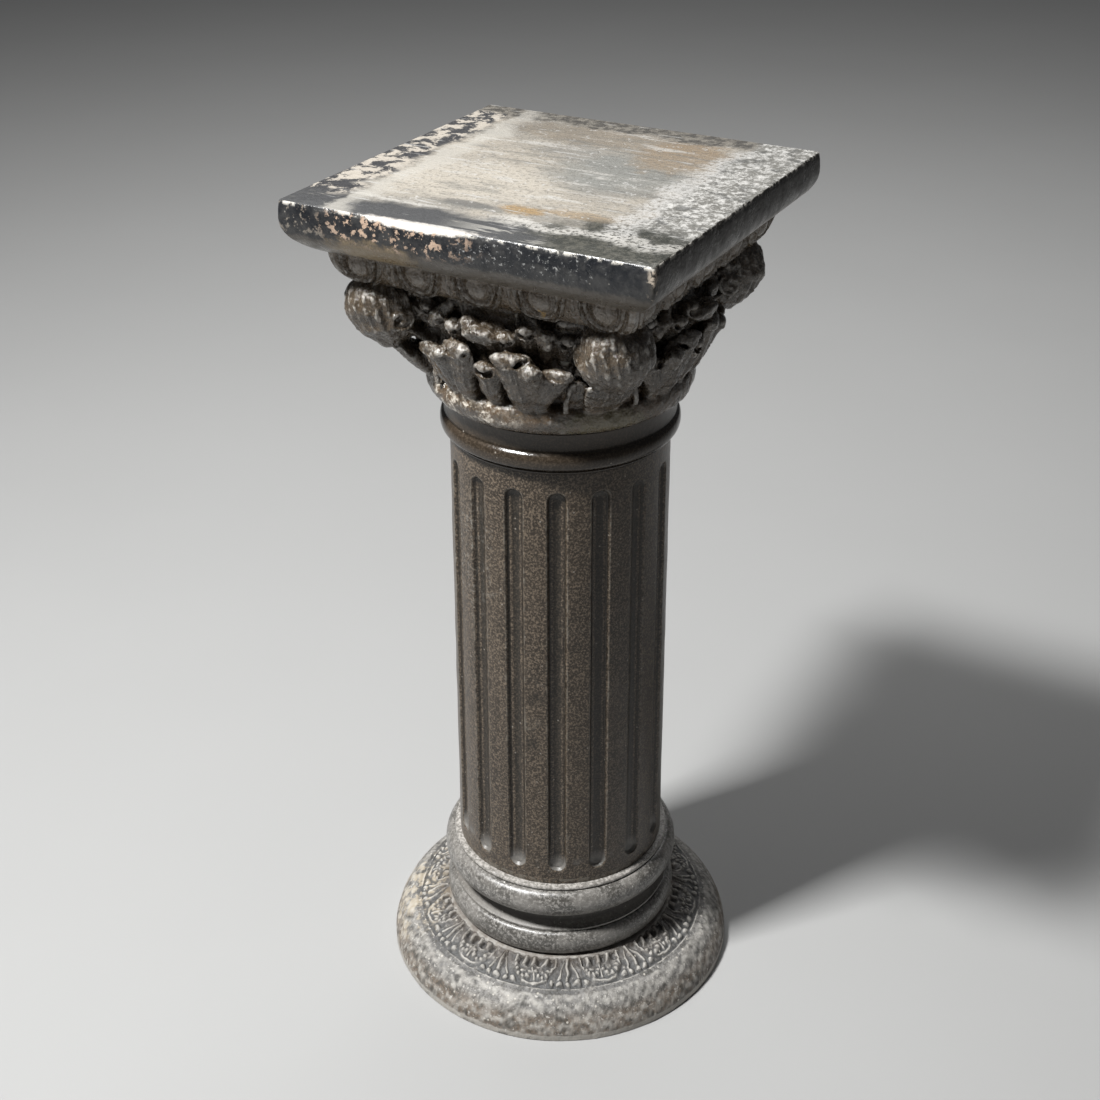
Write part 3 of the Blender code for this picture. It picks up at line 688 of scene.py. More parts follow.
def egg_relief(across, up):
    """Height of the egg band's carving from -1 to 1: hollow cups with two rims each, and leaves between."""
    # Lengths in here are millimetres
    pitch = EGG_PITCH * 1000.0
    share = across * 1000.0 / pitch
    from_egg = (share - np.round(share)) * pitch
    drop = (1.0 - up) * 42.0
    cup = np.hypot(from_egg / 18.5, drop / 33.0)
    outer = np.hypot(from_egg / 24.5, drop / 40.0)
    height = 0.85 * ridge(cup - 1.0, 0.085)
    height = np.maximum(height, ridge(outer - 0.98, 0.05))
    egg = np.maximum(1.0 - (from_egg / 16.0) ** 2 - ((drop - 12.0) / 21.0) ** 2, 0.0)
    floor = -1.3 + 2.3 * np.sqrt(egg)
    inside = smooth_step(0.93 - cup, 0.0, 0.14)
    height = inside * floor + (1.0 - inside) * height
    from_dart = np.abs(pitch / 2.0 - np.abs(from_egg))
    dart = 0.9 * ridge(from_dart, 1.5) * smooth_step(38.0 - drop, 0.0, 5.0)
    barb = 0.7 * ridge(from_dart - 4.2 + 0.06 * drop, 1.0) * smooth_step(33.0 - drop, 0.0, 4.0)
    outside = smooth_step(outer, 1.0, 1.06)
    return np.maximum(height, np.maximum(dart, barb) * outside - 0.5 * outside)


def egg_band():
    """The band of eggs under the slab, as a closed square solid."""
    up = np.linspace(0.0, 1.0, 34)
    z = EGG_BAND_FOOT_Z - 0.001 + (SLAB_FOOT_Z + 0.002 - EGG_BAND_FOOT_Z + 0.001) * up
    flare = np.sqrt(1.0 - (1.0 - up) ** 2)
    half = EGG_BAND_FOOT_HALF - 0.004 + (EGG_BAND_TOP_HALF - EGG_BAND_FOOT_HALF) * flare
    share = np.linspace(-1.0, 1.0, 190, endpoint=False)
    across = share[None, :] * half[:, None]
    relief = egg_relief(across, np.broadcast_to(up[:, None], across.shape))
    near_corner = smooth_step(np.abs(share), 0.93, 1.0)[None, :]
    out = half[:, None] + 0.0052 * (relief * (1.0 - near_corner) + 0.5 * near_corner)
    wide = across * (out / half[:, None]) ** near_corner
    drop = -0.003 * relief * (1.0 - near_corner)
    z = z[:, None] + drop * np.sin(np.pi * up)[:, None]
    return closed_grid(np.concatenate([square_side(wide, out, quarter, z) for quarter in range(4)], axis=1))


def slab():
    """The square slab: a flat top with a crisp worn edge over a side that rolls in to its foot."""
    profile = np.concatenate([smooth_line(SLAB_SIDE, 24), SLAB_EDGE])
    per_side = 110
    share = np.sin(np.linspace(-1.0, 1.0, per_side) * 1.35) / math.sin(1.35)
    corner = SLAB_CORNER_RADIUS
    bend = np.radians(np.array([30.0, 60.0]))
    rows = []
    for half, z in profile:
        wide = np.concatenate([share * (half - corner), half - corner + corner * np.sin(bend)])
        out = np.concatenate([np.full(per_side, half), half - corner + corner * np.cos(bend)])
        rows.append(np.concatenate([square_side(wide, out, quarter, z) for quarter in range(4)]))
    rows = np.array(rows)
    outward = unit(rows * (1.0, 1.0, 0.0))
    uneven = 0.0004 * (rough_noise(rows, 0.05, 3) - 1.2) - 0.0002
    side = smooth_step(rows[..., 2], 0.85, 0.86)
    chips = smooth_step(rough_noise(rows, 0.014, 3), 0.55, 0.85) * ridge(rows[..., 2] - 0.8985, 0.003)
    rows += outward * ((uneven - 0.0014 * chips) * side)[..., None]
    return closed_grid(rows)


def weather(made, depth, cell):
    """Gives a mesh the slight lumps of a worn casting under thick paint."""
    points, normals = vectors(made.data.vertices, "co"), vectors(made.data.vertices, "normal")
    above_foot = smooth_step(points[:, 2], CAPITAL_FOOT_Z + 0.001, CAPITAL_FOOT_Z + 0.006)
    lumps = rough_noise(points, cell, 3) * above_foot
    lumps = lumps + 0.5 * soft_noise(points, cell / 3.0) * smooth_step(lumps, -0.6, 0.4)
    move_points(made.data, points + normals * (depth * (lumps - 0.3))[:, None])


def capital_piece():
    made = capital_carving()
    weather(made, 0.0008, 0.009)
    for name, shape in (("egg_band", egg_band()), ("slab", slab())):
        other = mesh_object(name, shape)
        union = made.modifiers.new("join_" + name, "BOOLEAN")
        union.operation = "UNION"
        union.solver = "MANIFOLD"
        union.object = other
    settle_modifiers(made)
    for name in ("egg_band", "slab"):
        bpy.data.objects.remove(bpy.data.objects[name], do_unlink=True)
    mesh = made.data
    mesh.materials.clear()
    mesh.shade_smooth()
    mesh.set_sharp_from_angle(angle=math.radians(42.0))
    z, upward = vectors(mesh.polygons, "center")[:, 2], vectors(mesh.polygons, "normal")[:, 2]
    slots = np.zeros(len(mesh.polygons), int)
    slots[z > SLAB_FOOT_Z + 0.0005] = 1
    slots[(z > SLAB_TOP_Z - 0.001) & (upward > 0.6)] = 2
    mesh.polygons.foreach_set("material_index", slots)
    finish_piece(made, "leaf_capital", [paint_look(), slab_side_look(), slab_top_look()])
    made.data.calc_loop_triangles()
    fewer = made.modifiers.new("fewer", "DECIMATE")
    fewer.ratio = min(1.0, CAPITAL_TRIANGLES / len(made.data.loop_triangles))
    settle_modifiers(made)
    made.data.validate()
    points = vectors(made.data.vertices, "co")
    points[:, 2] = np.clip(points[:, 2], CAPITAL_FOOT_Z, SLAB_TOP_Z)
    move_points(made.data, points)


# Materials
BLACK = (0.0, 0.0, 0.0)
TOP_DARKENING = 0.58
DISC_DARKENING = 0.25
# How softly a patch ends, as a share of its size
PATCH_EDGE = 0.35


class Look:
    """One material, with short calls for its nodes. Lengths are in metres."""

    def __init__(self, name, roughness, specular=0.5):
        self.material = bpy.data.materials.new(name)
        self.material.use_nodes = True
        self.tree = self.material.node_tree
        self.shader = self.tree.nodes["Principled BSDF"]
        self.shader.inputs["Roughness"].default_value = roughness
        self.shader.inputs["Specular IOR Level"].default_value = specular
        self.place = self.add("ShaderNodeTexCoord").outputs["Object"]
        self.colour = None
        self.height = None

    def add(self, kind, settings=(), **inputs):
        node = self.tree.nodes.new(kind)
        for name, value in dict(settings).items():
            setattr(node, name, value)
        for name, value in inputs.items():
            self.put(node.inputs[name.replace("_", " ")], value)
        return node

    def put(self, socket, value):
        if isinstance(value, bpy.types.NodeSocket):
            self.tree.links.new(value, socket)
        elif isinstance(value, tuple) and len(value) == 3 and len(socket.default_value) == 4:
            socket.default_value = (*value, 1.0)
        else:
            socket.default_value = value

    def math(self, operation, a, b):
        node = self.add("ShaderNodeMath", {"operation": operation})
        self.put(node.inputs[0], a)
        self.put(node.inputs[1], b)
        return node.outputs[0]

    def times(self, *factors):
        """The product of these."""
        product = factors[0]
        for factor in factors[1:]:
            product = self.math("MULTIPLY", product, factor)
        return product

    def step(self, value, low, high, bottom=0.0, top=1.0):
        limits = {"From_Min": low, "From_Max": high, "To_Min": bottom, "To_Max": top}
        smooth = {"interpolation_type": "SMOOTHSTEP"}
        return self.add("ShaderNodeMapRange", smooth, Value=value, **limits).outputs[0]

    def stretched(self, x, y, z):
        return self.add("ShaderNodeMapping", Vector=self.place, Scale=(x, y, z)).outputs[0]

    def noise(self, cell, detail=4.0, roughness=0.55, distortion=0.0, place=None):
        shape = {"Scale": 1.0 / cell, "Detail": detail, "Roughness": roughness, "Distortion": distortion}
        return self.add("ShaderNodeTexNoise", Vector=place or self.place, **shape).outputs["Fac"]

    def specks(self, cell, size):
        """Scattered dots: 1 in their middle, 0 outside; size is a share of the cell."""
        node = self.add("ShaderNodeTexVoronoi", {"feature": "F1"}, Vector=self.place, Scale=1.0 / cell)
        return self.step(node.outputs["Distance"], size, size * 0.6)

    def window(self, value, low, full, high, none):
        """1 from full to high, sinking to 0 at low and none."""
        return self.times(self.step(value, low, full), self.step(value, none, high))

    def spot(self, shade, centre, reach, ragged, cell, *shares):
        """Lays a ragged patch of a shade over the colour so far."""
        self.cover(shade, self.blot(centre, reach, ragged, cell), *shares)

    def value(self, name):
        return self.add("ShaderNodeAttribute", {"attribute_name": name}).outputs["Fac"]

    def axis(self, name):
        return self.add("ShaderNodeSeparateXYZ", Vector=self.place).outputs[name]

    def mix(self, share, a, b):
        node = self.add("ShaderNodeMix", {"data_type": "RGBA"})
        self.put(node.inputs["Factor"], share)
        self.put(node.inputs[6], a)
        self.put(node.inputs[7], b)
        return node.outputs[2]

    def cover(self, shade, *shares):
        """Lays a shade over the colour so far, by the product of these shares."""
        self.colour = self.mix(self.times(*shares), self.colour, shade)

    def blot(self, centre, reach, ragged, cell):
        """A ragged patch round a centre, with these half sizes: 1 inside, 0 outside."""
        off = self.place
        for operation, amount in (("SUBTRACT", centre), ("DIVIDE", reach)):
            node = self.add("ShaderNodeVectorMath", {"operation": operation})
            self.put(node.inputs[0], off)
            self.put(node.inputs[1], amount)
            off = node.outputs["Vector"]
        length = self.add("ShaderNodeVectorMath", {"operation": "LENGTH"})
        self.put(length.inputs[0], off)
        wobble = self.times(self.math("SUBTRACT", self.noise(cell, 5.0, 0.65), 0.5), ragged * 4.0)
        away = self.math("ADD", length.outputs["Value"], wobble)
        return self.step(away, 1.0 + PATCH_EDGE, 1.0 - PATCH_EDGE)

    def bump(self, height, depth):
        """Adds height from 0 to 1 as relief of this depth in metres."""
        node = self.add("ShaderNodeBump", Height=height, Distance=depth, Strength=1.0)
        if self.height is not None:
            self.put(node.inputs["Normal"], self.height)
        self.height = node.outputs["Normal"]

    def done(self, roughness=None):
        self.put(self.shader.inputs["Base Color"], self.colour)
        if roughness is not None:
            self.put(self.shader.inputs["Roughness"], roughness)
        if self.height is not None:
            self.put(self.shader.inputs["Normal"], self.height)
        return self.material


def paint_look():
    """Glossy brown-black paint with rust, painted shade in the hollows, and crests lightened as bare paint
    and painted highlight.
    """
    look = Look("capital_paint", 0.3, 0.9)
    broad = look.noise(0.03, 4.0)
    look.colour = look.mix(look.step(broad, 0.35, 0.65), (0.03, 0.022, 0.014), (0.064, 0.047, 0.031))
    high = look.step(look.axis("Z"), EGG_BAND_FOOT_Z - 0.002, EGG_BAND_FOOT_Z + 0.004)
    look.cover((0.165, 0.12, 0.075), high, 0.6)
    # Painted shade: the hollows of the carving are darkened to a dark brown.
    hollow = look.step(look.value("hollow"), -0.5, -2.6)
    rust = look.step(look.noise(0.012, 5.0, 0.6), 0.42, 0.6)
    look.cover((0.028, 0.017, 0.009), hollow, 0.7)
    low = look.step(look.axis("Z"), RING_TOP_Z + 0.0222, RING_TOP_Z - 0.0008)
    look.cover((0.09, 0.054, 0.026), rust, low, 0.7)
    # Lighter crests: partly bare, worn paint and partly a painted highlight on the carving's tips.
    crest = look.step(look.value("crest"), 0.05, 0.2)
    worn = look.times(crest, look.step(look.noise(0.007, 4.0), 0.38, 0.6))
    look.cover((0.35, 0.33, 0.3), worn, 0.8)
    ring = look.step(look.axis("Z"), RING_TOP_Z + 0.0027, RING_TOP_Z + 0.0002)
    flakes = look.step(look.noise(0.011, 5.0, 0.68), 0.47, 0.56)
    stain = look.times(ring, look.blot((-0.045, -0.125, 0.708), (0.06, 0.05, 0.02), 0.35, 0.02))
    stain = look.times(stain, flakes)
    cream = look.mix(
        look.step(look.noise(0.006, 4.0, 0.6), 0.4, 0.62), (0.16, 0.135, 0.105), (0.62, 0.57, 0.49)
    )
    look.cover(cream, stain, 0.9)
    gold = look.times(ring, look.blot((0.098, -0.088, 0.706), (0.04, 0.04, 0.012), 0.5, 0.012))
    look.cover((0.12, 0.1, 0.035), gold, 0.6)
    look.spot((0.32, 0.22, 0.09), (-0.128, -0.112, 0.757), (0.012, 0.012, 0.01), 0.4, 0.008, 0.7)
    look.spot((0.42, 0.27, 0.08), (0.062, -0.148, 0.827), (0.0024, 0.02, 0.0045), 0.2, 0.006)
    look.spot((0.62, 0.62, 0.56), (0.0665, -0.115, 0.768), (0.004, 0.004, 0.004), 0.1, 0.006)
    grain = look.noise(0.002, 3.0, 0.75)
    look.cover((0.165, 0.132, 0.092), look.step(grain, 0.5, 0.64), 0.5)
    look.cover((0.25, 0.23, 0.19), look.specks(0.008, 0.1), 0.5)
    veins = look.noise(0.0034, 3.0, 0.5, 0.0, look.stretched(1.0, 1.0, 0.16))
    carved = look.step(look.axis("Z"), RING_TOP_Z + 0.0042, RING_TOP_Z + 0.0092)
    look.bump(look.times(veins, carved), 0.0021)
    look.bump(grain, 0.0006)
    look.bump(look.noise(0.006, 4.0, 0.6), 0.0018)
    return look.done(look.step(look.noise(0.01, 3.0), 0.3, 0.7, 0.14, 0.3))


def slab_side_look():
    """Blue-black paint over a brown-grey roll, chipped to buff and white."""
    look = Look("slab_side_paint", 0.35)
    z = look.axis("Z")
    ragged = look.times(look.math("SUBTRACT", look.noise(0.012, 5.0, 0.6), 0.5), 0.012)
    upper = look.step(look.math("ADD", z, ragged), SLAB_FOOT_Z + 0.018, SLAB_FOOT_Z + 0.0235)
    lower = look.mix(look.noise(0.005, 5.0, 0.7), (0.055, 0.046, 0.036), (0.135, 0.115, 0.09))
    dark = look.mix(look.step(look.noise(0.01, 5.0), 0.4, 0.65), (0.009, 0.01, 0.012), (0.028, 0.028, 0.028))
    look.colour = look.mix(upper, lower, dark)
    # Painted shade: the right face, turned away from the lamp, gets one even dark tone in place of the
    # two-tone paint.
    right = look.step(look.axis("X"), 0.178, 0.1835)
    look.cover(look.mix(look.noise(0.007, 4.0), (0.022, 0.02, 0.016), (0.06, 0.054, 0.045)), right, 0.8)
    ochre = look.blot((-0.09, -0.176, 0.863), (0.042, 0.03, 0.013), 0.4, 0.01)
    look.cover(look.mix(look.noise(0.004, 4.0, 0.7), (0.17, 0.115, 0.055), (0.36, 0.28, 0.17)), ochre, 0.9)
    region = look.blot((-0.07, -0.186, 0.886), (0.078, 0.03, 0.017), 0.3, 0.03)
    chips = look.step(look.noise(0.008, 6.0, 0.66), 0.53, 0.58)
    pink = look.mix(look.noise(0.006, 4.0), (0.3, 0.21, 0.15), (0.44, 0.33, 0.25))
    look.cover(pink, region, chips)
    far = look.blot((-0.165, -0.186, 0.88), (0.035, 0.03, 0.022), 0.3, 0.03)
    light = look.step(look.noise(0.008, 5.0, 0.62), 0.53, 0.62)
    look.cover((0.17, 0.15, 0.125), far, light)
    dusty = look.blot((0.055, -0.186, 0.885), (0.07, 0.03, 0.015), 0.4, 0.03)
    white = look.times(dusty, look.step(look.noise(0.0045, 5.0, 0.75), 0.56, 0.66))
    look.cover((0.38, 0.38, 0.37), white, 0.7)
    corner = look.times(
        look.step(look.math("SUBTRACT", look.axis("X"), look.axis("Y")), 0.36, 0.366),
        look.step(look.noise(0.006, 4.0, 0.6), 0.5, 0.58),
    )
    look.cover((0.42, 0.36, 0.29), corner, 0.8)
    arris = look.step(z, SLAB_TOP_Z - 0.0045, SLAB_TOP_Z - 0.0015)
    scuffed = look.step(look.noise(0.009, 5.0, 0.68), 0.48, 0.58)
    look.cover((0.42, 0.4, 0.36), arris, scuffed)
    look.spot((0.8, 0.74, 0.67), (-0.04, -0.184, 0.8985), (0.042, 0.02, 0.0045), 0.45, 0.008)
    look.cover((0.28, 0.26, 0.23), look.specks(0.009, 0.11), 0.5)
    look.bump(look.noise(0.003, 4.0), 0.0005)
    look.bump(look.noise(0.012, 4.0), 0.0008)
    return look.done(look.step(look.noise(0.012, 3.0), 0.3, 0.7, 0.24, 0.46))


def slab_top_look():
    """The worn top: a bare cream and grey middle, rubbed one way, inside a border of dark paint."""
    look = Look("slab_top_worn", 0.62)
    x = look.axis("X")
    y = look.axis("Y")
    warp = look.times(look.math("SUBTRACT", look.noise(0.035, 6.0, 0.62), 0.5), 0.06)
    wx = look.math("ADD", x, warp)
    wy = look.math("ADD", y, look.times(warp, 0.8))
    streaks = look.noise(0.016, 6.0, 0.66, 0.3, look.stretched(0.16, 1.0, 1.0))
    grain = look.noise(0.0045, 5.0, 0.68)
    cloud = look.noise(0.1, 6.0, 0.6)
    look.colour = look.mix(look.step(cloud, 0.38, 0.62), (0.6, 0.54, 0.45), (0.44, 0.41, 0.36))
    for centre, reach, shade, share, ragged in (
        ((-0.06, -0.055), (0.085, 0.06), (0.78, 0.71, 0.6), 0.75, 0.25),
        ((0.05, 0.03), (0.065, 0.06), (0.33, 0.345, 0.325), 0.6, 0.35),
        ((-0.01, 0.125), (0.12, 0.03), (0.34, 0.27, 0.19), 0.6, 0.35),
        ((0.075, 0.105), (0.04, 0.055), (0.45, 0.32, 0.19), 0.65, 0.35),
        ((0.02, -0.108), (0.02, 0.011), (0.52, 0.33, 0.13), 0.85, 0.35),
        ((0.072, -0.098), (0.045, 0.01), (0.48, 0.32, 0.15), 0.55, 0.4),
        ((-0.03, -0.115), (0.035, 0.007), (0.13, 0.13, 0.13), 0.7, 0.4),
    ):
        blot = look.blot((*centre, SLAB_TOP_Z), (*reach, 0.05), ragged, 0.016)
        look.cover(shade, blot, share)
    look.cover((0.24, 0.24, 0.22), look.step(streaks, 0.52, 0.66), 0.55)
    look.cover((0.82, 0.79, 0.73), look.step(streaks, 0.45, 0.36), 0.75)
    look.cover((0.2, 0.185, 0.16), look.step(grain, 0.5, 0.62), 0.55)
    flecks = look.times(look.step(look.noise(0.007, 6.0, 0.72), 0.6, 0.64), 0.8)
    look.cover((0.86, 0.84, 0.8), flecks)

    patchy = look.step(look.noise(0.014, 6.0, 0.68, 0.3), 0.47, 0.55)
    left = look.mix(patchy, (0.06, 0.06, 0.064), (0.74, 0.67, 0.57))
    look.cover(left, look.step(wx, -0.135, -0.148))
    behind = look.mix(
        look.step(look.noise(0.01, 5.0, 0.68), 0.42, 0.6), (0.11, 0.1, 0.085), (0.34, 0.31, 0.26)
    )
    look.cover(behind, look.step(wy, 0.145, 0.157))
    mottled = look.step(look.noise(0.0065, 6.0, 0.75), 0.44, 0.6)
    beside = look.mix(mottled, (0.28, 0.27, 0.24), (0.98, 0.96, 0.91))
    beside = look.mix(
        look.times(look.step(look.noise(0.022, 6.0, 0.7), 0.53, 0.62), 0.75), beside, (0.13, 0.13, 0.12)
    )
    look.cover(beside, look.step(wx, 0.115, 0.128))
    lines = look.step(streaks, 0.45, 0.53)
    front = look.mix(
        look.math("MAXIMUM", lines, look.step(x, 0.045, -0.035)), (0.55, 0.53, 0.48), (0.085, 0.086, 0.088)
    )
    front = look.mix(look.times(look.step(streaks, 0.4, 0.34), 0.8), front, (0.5, 0.47, 0.41))
    in_front = look.times(look.step(wy, -0.133, -0.15), look.step(x, 0.15, 0.11))
    look.cover(front, in_front)
    greenish = look.blot((0.134, -0.15, 0.9), (0.078, 0.05, 0.05), 0.35, 0.03)
    look.cover(look.mix(mottled, (0.03, 0.032, 0.022), (0.115, 0.11, 0.085)), greenish, 0.97)

    band = look.window(wx, 0.098, 0.112, 0.122, 0.136)
    band = look.times(band, look.window(y, -0.15, -0.135, 0.135, 0.155))
    look.cover((0.84, 0.82, 0.78), band, look.step(grain, 0.62, 0.44), 0.85)
    sill = look.window(wy, -0.152, -0.142, -0.135, -0.126)
    sill = look.times(sill, look.step(x, -0.01, 0.04))
    look.cover((0.84, 0.81, 0.75), sill, look.step(grain, 0.62, 0.46), 0.8)
    rubbed = look.window(wx, -0.138, -0.13, -0.122, -0.102)
    look.cover((0.78, 0.74, 0.66), rubbed, 0.6)
    look.spot((0.82, 0.77, 0.71), (-0.03, -0.1825, 0.9), (0.055, 0.005, 0.02), 0.45, 0.008)
    scratch = look.noise(0.005, 3.0, 0.5, 0.2, look.stretched(0.1, 1.0, 1.0))
    look.cover((0.8, 0.79, 0.76), look.step(scratch, 0.64, 0.7), 0.7)
    look.bump(grain, 0.0009)
    look.bump(streaks, 0.001)
    look.cover(BLACK, TOP_DARKENING)
    return look.done(look.step(grain, 0.35, 0.65, 0.45, 0.72))


def shaft_look():
    """Warm black paint with a fine speckle, lighter where it is rubbed and where a highlight is painted on
    the crests and the flutes' lower ends, with dirt and painted shade in the flute creases.
    """
    look = Look("shaft_paint", 0.4, 0.4)
    fine = look.noise(0.0022, 3.0, 0.75)
    broad = look.noise(0.05, 4.0, 0.5, 0.0, look.stretched(1.0, 1.0, 0.4))
    look.colour = look.mix(look.step(broad, 0.3, 0.7), (0.024, 0.018, 0.0125), (0.035, 0.026, 0.018))
    necking = look.step(look.axis("Z"), SHAFT_HEAD_Z - 0.003, SHAFT_HEAD_Z + 0.001)
    bare = look.step(necking, 0.0, 1.0, 1.0, 0.25)
    look.cover((0.145, 0.113, 0.082), look.step(fine, 0.46, 0.62), bare)
    # Lighter crests of the flutes: rubbed paint and a painted highlight.
    rubbed = look.times(
        look.step(look.value("crest"), 0.03, 0.12), look.step(look.noise(0.006, 4.0), 0.42, 0.6)
    )
    rubbed = look.times(rubbed, look.step(look.axis("Z"), FLUTE_TOP_Z + 0.004, FLUTE_TOP_Z - 0.004))
    look.cover((0.16, 0.145, 0.12), rubbed, 0.6)
    scuffs = look.times(
        look.blot((-0.045, -0.1, 0.535), (0.03, 0.03, 0.06), 0.5, 0.03),
        look.step(look.noise(0.006, 5.0, 0.7), 0.54, 0.64),
    )
    look.cover((0.2, 0.185, 0.16), scuffs, 0.7)
    # Dark line in the creases at the foot of the flute walls: dirt and painted shade.
    crease_dirt_and_shade = look.times(
        look.step(look.value("crest"), -0.02, -0.07),
        look.step(look.axis("Z"), FLUTE_FOOT_Z + 0.007, FLUTE_FOOT_Z + 0.021),
    )
    look.cover((0.008, 0.007, 0.005), crease_dirt_and_shade, 0.65)
    scratch = look.noise(0.01, 2.0, 0.4, 1.2, look.stretched(1.0, 1.0, 0.5))
    line = look.window(scratch, 0.494, 0.5, 0.5, 0.506)
    low = look.step(look.axis("Z"), FLUTE_FOOT_Z + 0.091, FLUTE_FOOT_Z + 0.031)
    look.cover((0.22, 0.2, 0.17), line, low, 0.45)
    # Painted highlight: the flutes' lower ends, which face up, are painted lighter.
    ends = look.times(
        look.step(look.axis("Z"), FLUTE_FOOT_Z + 0.023, FLUTE_FOOT_Z + 0.007),
        look.step(look.value("hollow"), 0.02, -0.1),
    )
    look.cover((0.16, 0.155, 0.145), ends, 0.75)
    look.cover((0.32, 0.29, 0.25), look.specks(0.013, 0.085), 0.6)
    bead = look.times(necking, look.step(look.axis("Z"), BEAD_TOP_Z + 0.0015, BEAD_TOP_Z - 0.0015))
    rough = look.step(fine, 0.3, 0.7, 0.28, 0.4)
    look.bump(look.times(fine, bare), 0.00032)
    look.bump(look.noise(0.014, 4.0), 0.0005)
    return look.done(look.times(rough, look.step(bead, 0.0, 1.0, 1.0, 0.52)))


def base_look():
    """Black paint worn to grey on the mouldings' crests, brown in the groove at the foot, with painted shade
    in the hollows.
    """
    look = Look("base_paint", 0.4, 0.7)
    fine = look.noise(0.0032, 5.0, 0.72)
    broad = look.noise(0.03, 5.0, 0.6)
    look.colour = look.mix(look.step(broad, 0.4, 0.62), (0.066, 0.062, 0.055), (0.165, 0.156, 0.142))
    look.cover((0.25, 0.238, 0.22), look.step(fine, 0.48, 0.6))
    look.cover((0.6, 0.585, 0.55), look.step(look.noise(0.0034, 5.0, 0.75), 0.62, 0.68))
    z = look.axis("Z")
    scotia = look.window(z, 0.0925, 0.0965, 0.113, 0.12)
    look.cover((0.105, 0.094, 0.078), scotia, 0.6)
    fillet = look.step(z, UPPER_TORUS_TOP_Z + 0.0005, UPPER_TORUS_TOP_Z + 0.0015)
    look.cover(look.mix(look.step(fine, 0.42, 0.6), (0.2, 0.188, 0.17), (0.5, 0.475, 0.44)), fillet, 0.7)
    foot = look.step(z, BASE_FOOT_Z + 0.005, BASE_FOOT_Z + 0.001)
    look.cover((0.055, 0.032, 0.016), foot, 0.85)
    # Painted shade: the hollows of the mouldings are darkened.
    look.cover((0.045, 0.04, 0.034), look.step(look.value("hollow"), -0.15, -0.5), 0.7)
    look.cover((0.42, 0.39, 0.34), look.specks(0.009, 0.1), 0.6)
    look.bump(fine, 0.00035)
    look.bump(broad, 0.0008)
    dull = look.times(scotia, 0.28)
    return look.done(look.math("ADD", look.step(fine, 0.3, 0.7, 0.26, 0.4), dull))


def disc_look():
    """Grainy grey and buff, stone-like, with painted shade in the leaves' hollows and a cream patch at the
    left.
    """
    look = Look("disc_worn", 0.55)
    fine = look.noise(0.0032, 5.0, 0.7)
    broad = look.noise(0.05, 5.0, 0.6)
    z = look.axis("Z")
    look.colour = look.mix(look.step(broad, 0.35, 0.65), (0.125, 0.122, 0.118), (0.26, 0.25, 0.235))
    buff = look.step(z, DISC_SHOULDER_Z - 0.0083, DISC_SHOULDER_Z - 0.0223)
    look.cover((0.19, 0.145, 0.105), buff, 0.85)
    look.cover((0.085, 0.08, 0.07), look.step(fine, 0.48, 0.6), 0.75)
    look.cover((0.58, 0.555, 0.51), look.step(look.noise(0.0042, 5.0, 0.75), 0.57, 0.64))
    patches = look.step(look.noise(0.02, 6.0, 0.7, 0.4), 0.5, 0.6)
    look.cover((0.07, 0.066, 0.058), patches, 0.78)
    pale = look.step(look.noise(0.026, 6.0, 0.7, 0.3), 0.46, 0.36)
    look.cover((0.36, 0.34, 0.31), pale, 0.6)
    cream = look.blot((-0.15, -0.08, 0.045), (0.06, 0.06, 0.03), 0.6, 0.02)
    flakes = look.step(look.noise(0.012, 5.0, 0.65), 0.45, 0.56)
    look.cover((0.45, 0.39, 0.3), cream, flakes)
    # Painted shade: darkens the hollows between the low leaves.
    hollow = look.step(look.value("hollow"), 0.08, -0.35)
    look.cover((0.072, 0.073, 0.073), hollow, 0.85)
    crest = look.step(look.value("crest"), 0.03, 0.16)
    look.cover((0.72, 0.69, 0.63), crest, 0.55)
    look.cover((0.7, 0.66, 0.58), look.specks(0.012, 0.13), 0.75)
    seat = look.blot((0.0, 0.0, 0.066), (0.152, 0.152, 0.02), 0.12, 0.02)
    look.cover((0.075, 0.048, 0.028), seat, look.step(look.noise(0.012, 4.0), 0.35, 0.6, 0.35, 0.85))
    look.cover(BLACK, DISC_DARKENING)
    look.bump(fine, 0.0008)
    look.bump(look.noise(0.01, 5.0, 0.6), 0.0014)
    return look.done(look.step(fine, 0.3, 0.7, 0.45, 0.68))


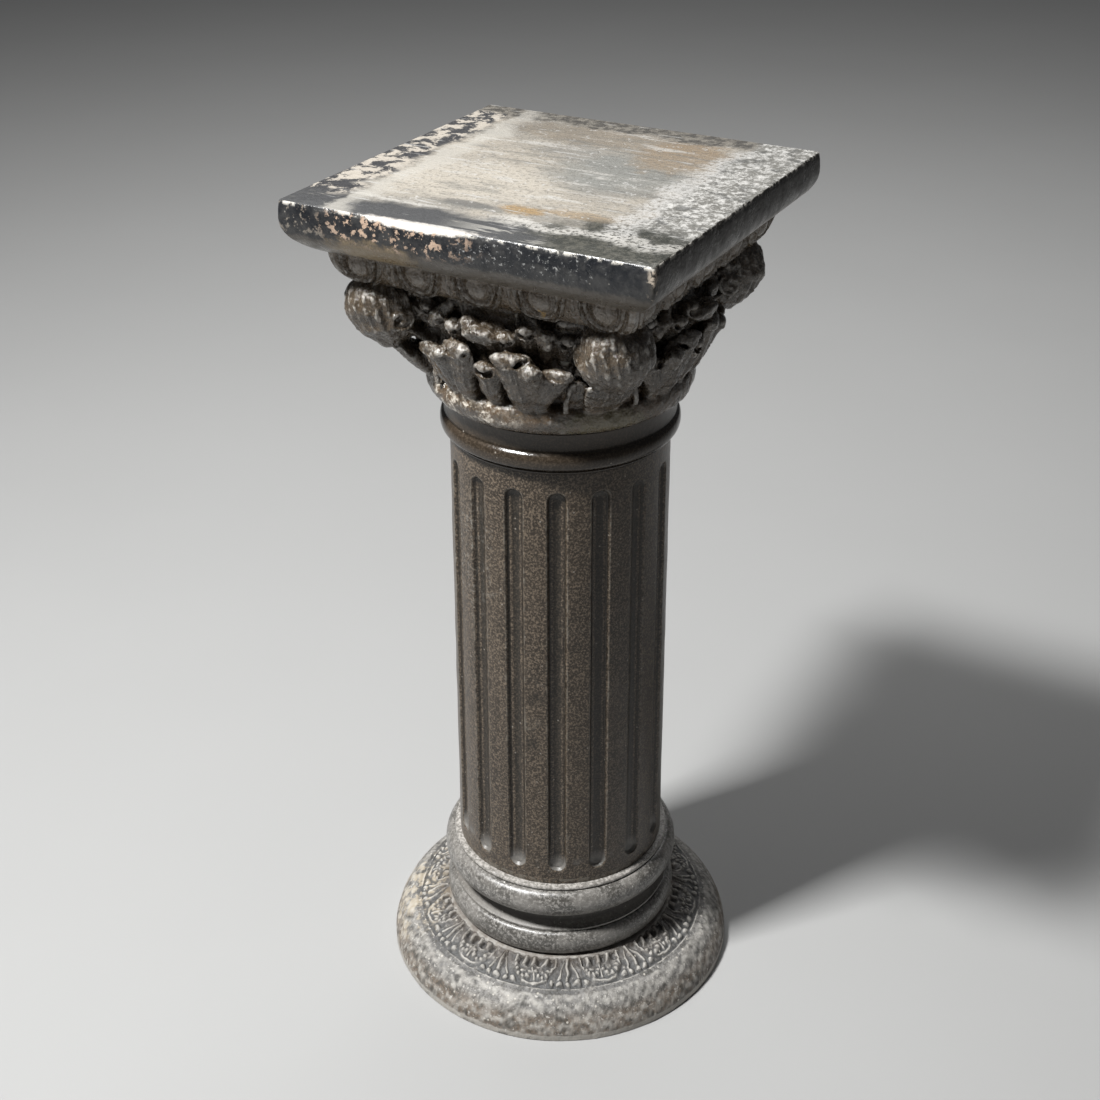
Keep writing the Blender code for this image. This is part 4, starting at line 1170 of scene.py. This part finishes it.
# Stage, light and camera
def stage():
    side = 6.0
    points = np.array([(-side, -side, 0.0), (side, -side, 0.0), (side, side, 0.0), (-side, side, 0.0)])
    floor = mesh_object("floor", (points, [[0, 1, 2, 3]]))
    look = Look("pale_floor", 0.7)
    look.colour = look.mix(look.noise(0.5, 3.0), (0.325, 0.325, 0.32), (0.345, 0.345, 0.34))
    floor.data.materials.append(look.done())


def area_light(name, azimuth, height, reach, size, power, aim=(0.0, 0.55)):
    """A soft square light at this azimuth, height and reach. It faces a point (reach, z) on that azimuth."""
    data = bpy.data.lights.new(name, "AREA")
    data.shape = "SQUARE"
    data.size = size
    data.energy = power
    made = bpy.data.objects.new(name, data)
    made.location = Vector(polar(reach, azimuth, height).tolist())
    ahead = Vector(polar(aim[0], azimuth, aim[1]).tolist()) - made.location
    made.rotation_euler = ahead.to_track_quat("-Z", "Y").to_euler()
    bpy.context.scene.collection.objects.link(made)


def lights():
    area_light("window", azimuth=-31.0, height=3.2, reach=1.75, size=0.42, power=245.0)
    area_light("back", azimuth=190.0, height=2.4, reach=2.8, size=1.5, power=5.0)
    area_light("far_floor", azimuth=200.0, height=2.8, reach=1.6, size=2.0, power=45.0, aim=(3.4, 0.0))
    world = bpy.data.worlds.new("studio")
    world.use_nodes = True
    background = world.node_tree.nodes["Background"]
    background.inputs["Color"].default_value = (0.93, 0.95, 1.0, 1.0)
    background.inputs["Strength"].default_value = 0.06
    bpy.context.scene.world = world
    bpy.context.scene.view_settings.view_transform = "Standard"


def camera():
    data = bpy.data.cameras.new("camera")
    data.lens = CAMERA_LENS
    data.shift_x = CAMERA_SHIFT_X
    made = bpy.data.objects.new("camera", data)
    made.location = Vector(polar(CAMERA_REACH, CAMERA_AZIMUTH, CAMERA_HEIGHT).tolist())
    made.rotation_euler = (math.radians(90.0 - CAMERA_PITCH), 0.0, math.radians(CAMERA_AZIMUTH))
    bpy.context.scene.collection.objects.link(made)
    bpy.context.scene.camera = made


disc_piece()
base_piece()
shaft_piece()
capital_piece()
stage()
lights()
camera()

for piece in bpy.data.objects:
    if piece.type == "MESH":
        print(piece.name, sum(len(face.vertices) - 2 for face in piece.data.polygons), "triangles")
